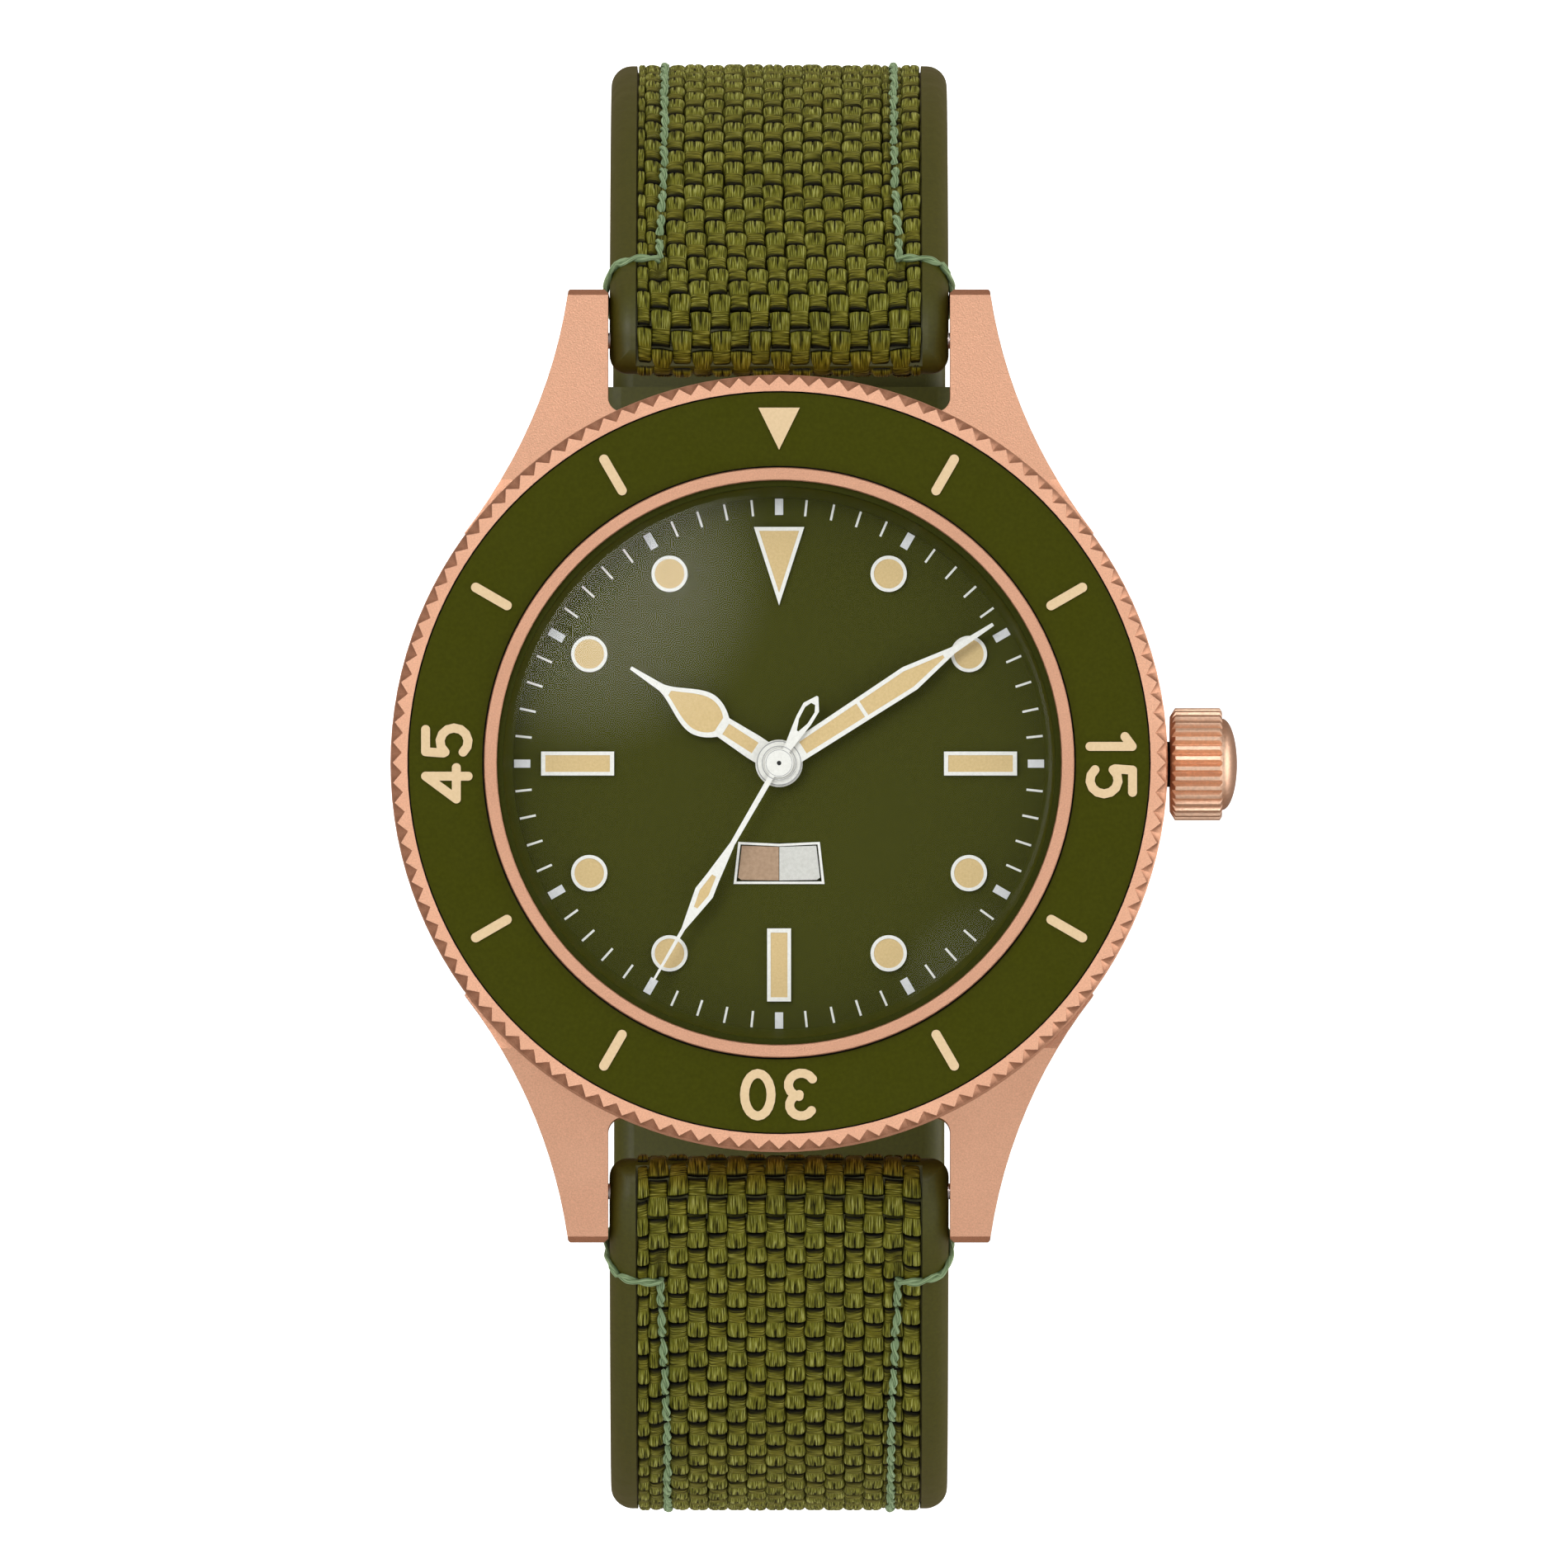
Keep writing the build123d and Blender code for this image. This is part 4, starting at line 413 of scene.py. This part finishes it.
# The look of each CAD node. All others are plain steel.
NODES_BY_LOOK = [
    (rose_satin, ["mid_case", "buckle_frame", "buckle_tongue"]),
    (rose_ring_painted_shade, ["crystal_ring"]),
    (rose_rim_painted_shade, ["bezel"]),
    (rose_crown_painted_light, ["crown"]),
    (tube_painted_shade, ["crown_tube"]),
    (steel_brushed, ["case_back"]),
    (insert_green, ["bezel_insert"]),
    (bezel_cream, ["bezel_markers"]),
    (dial_green, ["dial"]),
    (flange_green, ["flange_ring"]),
    (gasket_olive, ["crystal_gasket"]),
    (black_rubber, ["case_back_gasket"]),
    (crystal_material(), ["crystal"]),
    (paper_material(), ["moisture_papers"]),
    (white_paint, ["hour_marker_frames", "hour_hand", "minute_hand", "seconds_hand", "moisture_frame"]),
    (lume_cream, ["hour_marker_lume", "hour_hand_lume", "minute_hand_lume", "seconds_hand_lume"]),
    (strap_rubber, ["strap_upper", "strap_lower", "keeper_fixed", "keeper_free"]),
    (brass_satin, ["barrel", "centre_wheel", "third_wheel", "fourth_wheel", "balance_wheel"]),
    (brass_satin, ["minute_wheel", "hour_wheel"]),
]
LOOKS = {node_name: look for look, node_names in NODES_BY_LOOK for node_name in node_names}
for node_name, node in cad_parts.items():
    look = LOOKS.get(node_name, steel_satin)
    node.data.materials.clear()
    node.data.materials.append(look)


# ------------------------------------------------------------------ woven faces, in millimetres
# A float is one visible hump of yarn. "run" is the length along the strap's outer face from its end beside
# the case, "off" the height above the centre line. Along a float t goes from 0 to 1, across it a goes from
# -1 to 1.
PERIOD = 2.15
WEAVE_HALF_W = 7.5
WEAVE_START = -1.1
WEAVE_SHORT = 4.2
FABRIC_BASE = 1.2
GROUND_LOW = 1.1
GROUND = 1.25
GROUND_STEP = 0.5
LIFT = 0.5
NARROWEST = 0.3
# Pitch of the columns, one column's left edge, where a float of the even columns ends, and the columns' lean.
COLUMNS = {1: (1.05, -0.35, 1.30, -0.035), -1: (1.035, -0.69, 1.02, 0.0)}
LEAN_END = 14.0
NECK_ROWS = [0.015, 0.05, 0.09, 0.14, 0.21, 0.29, 0.37, 0.45]
HEAD_ROWS = [0.38, 0.44, 0.51, 0.59, 0.67, 0.75, 0.82, 0.87, 0.90, 0.92, 0.94, 0.955, 0.965]
HALF_ACROSS = [0.06, 0.14, 0.3, 0.5, 0.7, 0.86, 0.95, 1.0]
ACROSS = [-a for a in reversed(HALF_ACROSS)] + [0.0] + HALF_ACROSS
rng = random.Random(7)


def smooth_step(low, high, value):
    """Goes smoothly from 0 to 1 as the value goes from low to high."""
    t = max(0.0, min(1.0, (value - low) / (high - low)))
    return t * t * (3 - 2 * t)


def seam_x(side, run):
    """Distance of the seam from the middle of the strap."""
    if side < 0:
        return 6.3 - 0.35 * smooth_step(6, 20, run)
    return 6.36 - 0.25 * smooth_step(6, 18, run)


def seam_pinch(side, run, u):
    """How far the sewing pulls the fabric down at a place across the strap."""
    away = (abs(u) - seam_x(side, run)) / 0.3
    return 1 - 0.55 * math.exp(-(away ** 2)) * smooth_step(4.0, 6.0, run)


def neck(t, a, steep):
    """Crosswise strands: half width as a share of the pitch, share of the lift, and light.

    "steep" goes from 0 to 1 where the strap turns down, and makes the painted shade of the gap there a little
    wider.
    """
    sides = max(0.0, 1 - abs(a) ** 6) ** 0.5
    height = (0.50 + 0.26 * smooth_step(0.0, 0.16, t)) * sides
    strand = 1 - 0.08 * math.exp(-(((t - 0.25) / 0.03) ** 2))
    # Painted shadow of the float before at the start of this one, and painted shade at its sides.
    light = 0.88 * smooth_step(0.035, 0.14 + 0.06 * steep, t)
    light *= 1 - 0.85 * smooth_step(0.90, 1.0, abs(a))
    return 0.48, height * strand, light


def head(t, a, steep, split):
    """Lengthwise double strand: narrow and low at first, wide, full and rounded at its far end."""
    wide = 0.475 + 0.09 * smooth_step(0.42, 0.74, t) - 0.03 * smooth_step(0.90, 0.96, t)
    sides = max(0.0, 1 - abs(a) ** 5) ** 0.5
    height = (0.74 + 0.26 * smooth_step(0.40, 0.75, t)) * sides
    height *= max(0.0, 1 - max(0.0, (t - 0.82) / 0.15) ** 3) ** 0.5
    groove = math.exp(-((a / 0.07) ** 2)) * smooth_step(split, split + 0.12, t)
    # Painted shade: a dark line at the float's far end, wider where the strap turns down, and darker sides
    # and groove.
    light = 1 - 0.98 * smooth_step(0.90 - 0.09 * steep, 0.945 - 0.04 * steep, t)
    light *= 1 - 0.85 * smooth_step(0.90, 1.0, abs(a))
    light *= 1 - 0.85 * groove
    return wide, height * (1 - 0.22 * groove), light


def add_grid(weave_mesh, side, rows, shape, left, right, run_end, crosswise, wobble):
    """Adds the surface of one float between two column edges, ending at run_end."""
    verts, faces, uvs, light, tint_and_case_reflection = weave_mesh
    first = len(verts)
    middle, pitch = (left + right) / 2, right - left
    for t in rows:
        for a in ACROSS:
            wide, height, bright = shape(t, a, smooth_step(9.0, 20.0, run_end))
            bow = 0.035 * a * a * smooth_step(0.7, 1.0, t) + 0.02 * a * a * smooth_step(0.3, 0.0, t)
            u = middle + wobble["shift"] + a * wide * pitch + wobble["skew"] * (t - 0.5)
            edge_bend = 0.25 * max(0.0, (abs(u) - 4.0) / 3.5) ** 2
            run = run_end + edge_bend + (t - 1 - bow + wobble["turn"] * a) * PERIOD
            u = max(-WEAVE_HALF_W, min(WEAVE_HALF_W, u))
            run = max(WEAVE_START, run)
            pinch = seam_pinch(side, run, u)
            off = FABRIC_BASE + LIFT * wobble["swell"] * height * pinch + 0.14 * smooth_step(0.9, -0.2, run)
            verts.append(strap_point(side, line_at(side, run), off, u))
            along, over = t * PERIOD, a * wide * pitch
            uvs.append((wobble["seed"] + (along if crosswise else over), over if crosswise else along))
            # Painted shade, deeper where the seam pulls the fabric down.
            light.append(bright * (0.35 + 0.65 * pinch))
            # Tint: the yellowish crosswise strands, and near the strap's case end a painted reflection of the
            # rose-gold case.
            painted_case_reflection = 0.5 + (0.28 if side < 0 else 0.10) * smooth_step(1.6, 0.4, run)
            tint_and_case_reflection.append(max(0.42 * wobble["warm"] if crosswise else 0.06, painted_case_reflection if run < 1.6 else 0.0))
    wide_count = len(ACROSS)
    for i in range(len(rows) - 1):
        for j in range(wide_count - 1):
            k = first + i * wide_count + j
            quad = (k, k + 1, k + wide_count + 1, k + wide_count)
            faces.append(quad if side > 0 else quad[::-1])


def weave(side):
    """Plain weave on the outer face of a strap half: columns of floats, every other one half a period on."""
    weave_mesh = ([], [], [], [], [])
    length = face_length(side) - WEAVE_SHORT
    pitch, edge, phase, lean = COLUMNS[side]
    for column in range(-8, 9):
        offset = phase + (PERIOD / 2 if column % 2 else 0.0)
        row = -1
        while True:
            run_end = offset + row * PERIOD
            row += 1
            if run_end > length:
                break
            slide = lean * min(run_end, LEAN_END)
            left = edge + slide + column * pitch
            right = left + pitch
            left, right = max(-WEAVE_HALF_W, left), min(WEAVE_HALF_W, right)
            if right - left < NARROWEST:
                continue
            wobble = {
                "shift": rng.uniform(-0.025, 0.025), "skew": rng.uniform(-0.06, 0.06),
                "turn": rng.uniform(-0.02, 0.02), "swell": rng.uniform(0.92, 1.04),
                "seed": rng.uniform(0, 90), "warm": rng.uniform(0.6, 1.2),
            }
            split = rng.uniform(0.5, 0.72)
            add_grid(weave_mesh, side, NECK_ROWS, neck, left, right, run_end, True, wobble)
            add_grid(weave_mesh, side, HEAD_ROWS, lambda t, a, steep: head(t, a, steep, split),
                     left, right, run_end, False, wobble)
    return weave_mesh


def backing(side):
    """Ground under the strands, nearly black: painted shade of the gaps between the floats."""
    length = face_length(side) - WEAVE_SHORT
    steps = int(length / GROUND_STEP)
    half_w = WEAVE_HALF_W
    verts, faces = [], []
    for i in range(steps + 1):
        s = line_at(side, WEAVE_START + (length - WEAVE_START) * i / steps)
        for x, off in ((-half_w, GROUND_LOW), (-half_w, GROUND), (half_w, GROUND), (half_w, GROUND_LOW)):
            verts.append(strap_point(side, s, off, x))
    for i in range(steps):
        for j in range(4):
            a, b = 4 * i + j, 4 * i + (j + 1) % 4
            faces.append((a, b, b + 4, a + 4))
    faces.append((0, 1, 2, 3))
    faces.append((4 * steps + 3, 4 * steps + 2, 4 * steps + 1, 4 * steps))
    return verts, faces


for side, half in HALVES.items():
    body = f"strap_half_{half['name']}"
    verts, faces, uvs, light, tint_and_case_reflection = weave(side)
    face = build(f"weave_{half['name']}", verts, faces, weave_olive, body, uvs,
                 {"light": light, "tint_and_case_reflection": tint_and_case_reflection})
    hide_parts(f"strap_fabric_{half['name']}")
    verts, faces = backing(side)
    build(f"weave_ground_{half['name']}", verts, faces, ground_painted_shade, body, smooth=False)


# ------------------------------------------------------------------ sewing thread
THREAD_SIDES = 8
THREAD_TWIST = 1.7
WRAP_TWIST = 2.2
WRAP_STEPS = 4


def add_cord(cord, path, radius, twist, phase):
    """Adds a two-strand twisted cord along points with their outward directions."""
    verts, faces, uvs, light = cord
    for strand in (0, 1):
        first = len(verts)
        run = 0.0
        for i, (point, outward) in enumerate(path):
            before = path[max(0, i - 1)][0]
            after = path[min(len(path) - 1, i + 1)][0]
            ahead = after - before
            ahead = ahead / np.linalg.norm(ahead)
            up = outward - np.dot(outward, ahead) * ahead
            up = up / np.linalg.norm(up)
            across = np.cross(ahead, up)
            run += float(np.linalg.norm(point - before)) if i else 0.0
            angle = phase + run / twist * 2 * math.pi + strand * math.pi
            centre = point + radius * (math.cos(angle) * across * 0.95 + math.sin(angle) * up * 0.6)
            for k in range(THREAD_SIDES):
                t = 2 * math.pi * k / THREAD_SIDES
                verts.append(tuple(centre + radius * (math.cos(t) * across + math.sin(t) * up)))
                uvs.append((k / THREAD_SIDES * 1.5, run / MM + strand * 7))
                # Painted light on the cord: lighter on its outer side and where a strand lies high, painted
                # shade underneath.
                light.append(0.45 + 0.3 * math.sin(angle) + 0.3 * math.sin(t))
        count = len(path)
        for i in range(count - 1):
            for k in range(THREAD_SIDES):
                a = first + i * THREAD_SIDES + k
                b = first + i * THREAD_SIDES + (k + 1) % THREAD_SIDES
                faces.append((a, b, b + THREAD_SIDES, a + THREAD_SIDES))
        faces.append(tuple(first + k for k in range(THREAD_SIDES))[::-1])
        faces.append(tuple(first + (count - 1) * THREAD_SIDES + k for k in range(THREAD_SIDES)))


def surface(side, s, off, x):
    """Point and outward direction on a strap half."""
    point = np.array(strap_point(side, s, off, x))
    above = np.array(strap_point(side, s, off + 1.0, x))
    return point, (above - point) / np.linalg.norm(above - point)


# Runs: where each seam starts, and how far before the strap's far end it stops.
SEAM_STARTS = {1: 7.4, -1: 7.55}
SEAM_ENDS = {1: 13.0, -1: 21.0}
STITCH = 2.15
STITCH_STEPS = 14
THREAD_R = 0.122
THREAD_OFF = FABRIC_BASE + LIFT * 0.72
# The first stitch's way round the strap's edge: run from the seam's start, across from the seam, and height
# from THREAD_OFF.
WRAP = [
    (0.12, 0.0, -0.25), (0.02, 0.12, 0.02), (-0.02, 0.55, 0.12), (-0.06, 1.1, 0.12),
    (-0.18, 1.7, 0.06), (-0.42, 2.25, -0.06), (-0.66, 2.6, -0.45), (-0.86, 2.77, -1.1),
    (-0.95, 2.8, -1.8), (-0.95, 2.74, -2.6), (-0.95, 2.4, -3.25), (-0.95, 1.7, -3.45),
]
for side, half in HALVES.items():
    cord = ([], [], [], [])
    seam_end = face_length(side) - SEAM_ENDS[side]
    for hand in (-1, 1):
        for n in range(int((seam_end - SEAM_STARTS[side]) / STITCH)):
            s0 = SEAM_STARTS[side] + n * STITCH
            lean = rng.uniform(-0.10, 0.10)
            path = []
            for k in range(STITCH_STEPS + 1):
                t = k / STITCH_STEPS
                dip = 0.5 * abs(2 * t - 1) ** 3
                run = s0 + STITCH * (0.05 + 0.90 * t)
                path.append(surface(side, line_at(side, run), THREAD_OFF + 0.06 - dip,
                                    hand * seam_x(side, run) + lean * (t - 0.5) * 2))
            add_cord(cord, path, THREAD_R * MM, THREAD_TWIST * MM, rng.uniform(0, 6))
        path = []
        for here, there in zip(WRAP, WRAP[1:]):
            for k in range(WRAP_STEPS):
                share = k / WRAP_STEPS
                ahead, out, rise = (p * (1 - share) + q * share for p, q in zip(here, there))
                run = SEAM_STARTS[side] + ahead
                across = hand * (seam_x(side, run) + out)
                point, outward = surface(side, line_at(side, run), THREAD_OFF + rise, across)
                if out > 2.2 or rise < -0.6:
                    outward = np.array((hand * 1.0, 0.0, 0.0))
                path.append((point, outward))
        add_cord(cord, path, THREAD_R * 1.1 * MM, WRAP_TWIST * MM, 0.4)
    verts, faces, uvs, light = cord
    seam = build(f"thread_{half['name']}", verts, faces, thread_sage, f"strap_half_{half['name']}",
                 uvs, {"light": light, "tint_and_case_reflection": [0.0] * len(verts)})
    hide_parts(f"strap_thread_{half['name']}")


# ------------------------------------------------------------------ dial print
def clock(radius, across, degrees, z):
    """Point at a radius and a clockwise angle from twelve, shifted across."""
    turn = math.radians(degrees)
    return ((radius * math.sin(turn) + across * math.cos(turn)) * MM,
            (radius * math.cos(turn) - across * math.sin(turn)) * MM, z * MM)


def block(verts, faces, r0, r1, half, degrees, z0, z1):
    """Adds a radial bar between two radii and two heights."""
    first = len(verts)
    for z in (z0, z1):
        for r, a in ((r0, -half), (r0, half), (r1, half), (r1, -half)):
            verts.append(clock(r, a, degrees, z))
    for quad in ((3, 2, 1, 0), (4, 5, 6, 7), (0, 1, 5, 4), (1, 2, 6, 5), (2, 3, 7, 6), (3, 0, 4, 7)):
        faces.append(tuple(first + k for k in quad))


DIAL_TOP = 9.5
TRACK_IN = 13.12
TRACK_OUT = 13.98
TICK_HALF = 0.06
TICK_T = 0.02
BLOCK_HALF = 0.215
BLOCK_T = 0.06

verts, faces = [], []
for minute in range(60):
    if minute % 5:
        block(verts, faces, TRACK_IN, TRACK_OUT, TICK_HALF, minute * 6, DIAL_TOP, DIAL_TOP + TICK_T)
build("minute_track", verts, faces, tick_white, "case", smooth=False)
verts, faces = [], []
for hour in range(12):
    block(verts, faces, TRACK_IN, TRACK_OUT, BLOCK_HALF, hour * 30, DIAL_TOP, DIAL_TOP + BLOCK_T)
build("hour_blocks", verts, faces, tick_silver, "case", smooth=False)


# ------------------------------------------------------------------ flat rings of painted shade on the bezel and the hubs
GAP_SHADE_TOP = 12.3
INSERT_GAP_SHADES = [("insert_gap_shade_outer", 19.48, 19.63), ("insert_gap_shade_inner", 15.56, 15.68)]
HUB_SHADE_AROUND = 64


def annulus(inner, outer, z, steps=240):
    """A flat ring facing up."""
    ring_verts, ring_faces = [], []
    for k in range(steps):
        turn = 2 * math.pi * k / steps
        for radius in (inner, outer):
            ring_verts.append((radius * math.cos(turn) * MM, radius * math.sin(turn) * MM, z * MM))
    for k in range(steps):
        a, b = 2 * k, 2 * ((k + 1) % steps)
        ring_faces.append((a, a + 1, b + 1, b))
    return ring_verts, ring_faces


# Black rings in the gaps round both edges of the bezel insert: painted shade of the narrow gaps.
for gap_shade_name, inner, outer in INSERT_GAP_SHADES:
    verts, faces = annulus(inner, outer, GAP_SHADE_TOP)
    build(gap_shade_name, verts, faces, black_rubber, "timing_bezel", smooth=False)

# Flat rings of painted shade for the turned steps on the hands' hubs, and a black disc of painted shade for
# the hole at the end of the seconds arbor: radii, height, look and body.
HUB_SHADE_RINGS = [
    ("hub_shade_minute", 1.13, 1.18, 10.705, hub_painted_shade, "minutes"),
    ("hub_shade_outer", 0.87, 0.91, 11.104, hub_painted_shade, "seconds"),
    ("hub_shade_inner", 0.68, 0.71, 11.104, hub_painted_shade, "seconds"),
    ("arbor_hole_shade", 0.004, 0.118, 11.0, arbor_painted_shade, "seconds"),
]
for shade_ring_name, inner, outer, z, look, body in HUB_SHADE_RINGS:
    verts, faces = annulus(inner, outer, z, HUB_SHADE_AROUND)
    build(shade_ring_name, verts, faces, look, body, smooth=False)


# ------------------------------------------------------------------ stage, light and camera
def floor_material():
    """Almost white paper, faintly lit from behind as on a light table."""
    material, nodes, links, shader = new_material("floor_paper")
    grain = noise(nodes, links, 60, 4.0)
    links.new(ramp(nodes, links, grain, [(0.3, (0.93, 0.93, 0.93)), (0.7, (0.95, 0.95, 0.95))]),
              shader.inputs["Base Color"])
    shader.inputs["Roughness"].default_value = 0.9
    shader.inputs["Specular IOR Level"].default_value = 0.1
    shader.inputs["Emission Color"].default_value = (1, 1, 1, 1)
    shader.inputs["Emission Strength"].default_value = 0.8
    return material


FLOOR_HALF = 2.0
FLOOR_GAP = 0.0005
floor_z = cad_box[0][2] - FLOOR_GAP
corners = [(x * FLOOR_HALF, y * FLOOR_HALF, floor_z) for x, y in ((-1, -1), (1, -1), (1, 1), (-1, 1))]
floor_mesh = bpy.data.meshes.new("floor")
floor_mesh.from_pydata(corners, [], [(0, 1, 2, 3)])
floor = bpy.data.objects.new("floor", floor_mesh)
bpy.context.scene.collection.objects.link(floor)
floor.data.materials.append(floor_material())
# The metal mirrors the soft sky below it, not the glowing paper.
floor.visible_glossy = False

# Radiance by height of the sky direction, from straight down at 0 to straight up at 1.
SKY = [
    (0.0, (0.22, 0.16, 0.13)), (0.5, (0.34, 0.25, 0.20)), (0.6, (0.46, 0.37, 0.31)),
    (0.7, (0.72, 0.70, 0.68)), (0.78, (1.0, 1.0, 1.0)), (0.88, (0.9, 0.9, 0.9)),
    (0.94, (0.58, 0.58, 0.58)), (1.0, (0.44, 0.44, 0.44)),
]
# Soft bright panels: direction, half angles in degrees where they are full and where they end, and radiance.
PANELS = [
    ((-0.27, 0.29, 0.918), 2.0, 16.0, 9.0),
    ((0.30, -0.31, 0.90), 1.0, 8.0, 4.0),
    ((1.0, 0.0, 0.0), 5.0, 40.0, 1.9),
]


def panel_light(nodes, links, heading, aim, full, end, radiance):
    """Radiance of one round panel by the direction looked in."""
    facing = nodes.new("ShaderNodeVectorMath")
    facing.operation = "DOT_PRODUCT"
    facing.inputs[1].default_value = Vector(aim).normalized()
    links.new(heading, facing.inputs[0])
    panel = nodes.new("ShaderNodeMapRange")
    panel.interpolation_type = "SMOOTHSTEP"
    panel.inputs["From Min"].default_value = math.cos(math.radians(end))
    panel.inputs["From Max"].default_value = math.cos(math.radians(full))
    panel.inputs["To Max"].default_value = radiance
    links.new(facing.outputs["Value"], panel.inputs["Value"])
    return panel.outputs["Result"]


def studio_sky():
    """A world that is brightest in a ring part way up, with a few soft panels."""
    world = bpy.data.worlds.new("studio")
    bpy.context.scene.world = world
    world.use_nodes = True
    nodes, links = world.node_tree.nodes, world.node_tree.links
    heading = nodes.new("ShaderNodeTexCoord").outputs["Generated"]
    height = nodes.new("ShaderNodeSeparateXYZ")
    links.new(heading, height.inputs["Vector"])
    level = nodes.new("ShaderNodeMapRange")
    level.inputs["From Min"].default_value = -1.0
    links.new(height.outputs["Z"], level.inputs["Value"])
    total = ramp(nodes, links, level.outputs["Result"], SKY)
    for aim, full, end, radiance in PANELS:
        both = nodes.new("ShaderNodeMix")
        both.data_type = "RGBA"
        both.blend_type = "ADD"
        both.inputs["Factor"].default_value = 1.0
        links.new(total, both.inputs["A"])
        links.new(panel_light(nodes, links, heading, aim, full, end, radiance), both.inputs["B"])
        total = both.outputs["Result"]
    links.new(total, nodes["Background"].inputs["Color"])
    nodes["Background"].inputs["Strength"].default_value = 1.0


studio_sky()

FRAME_WIDTH = 82.6 * MM
DISTANCE = 2.2
SENSOR = 36.0
ELEVATION = math.radians(88.9)
LOOK_AT = np.array((0.26, -1.13, 12.4)) * MM
camera_data = bpy.data.cameras.new("camera")
camera_data.sensor_width = SENSOR
camera_data.lens = SENSOR * DISTANCE / FRAME_WIDTH
camera_data.clip_end = 20.0
camera = bpy.data.objects.new("camera", camera_data)
camera.location = LOOK_AT + DISTANCE * np.array((0.0, -math.cos(ELEVATION), math.sin(ELEVATION)))
camera.rotation_euler = (math.pi / 2 - ELEVATION, 0.0, 0.0)

scene = bpy.context.scene
scene.collection.objects.link(camera)
scene.camera = camera
scene.view_settings.view_transform = "Standard"
scene.view_settings.look = "None"
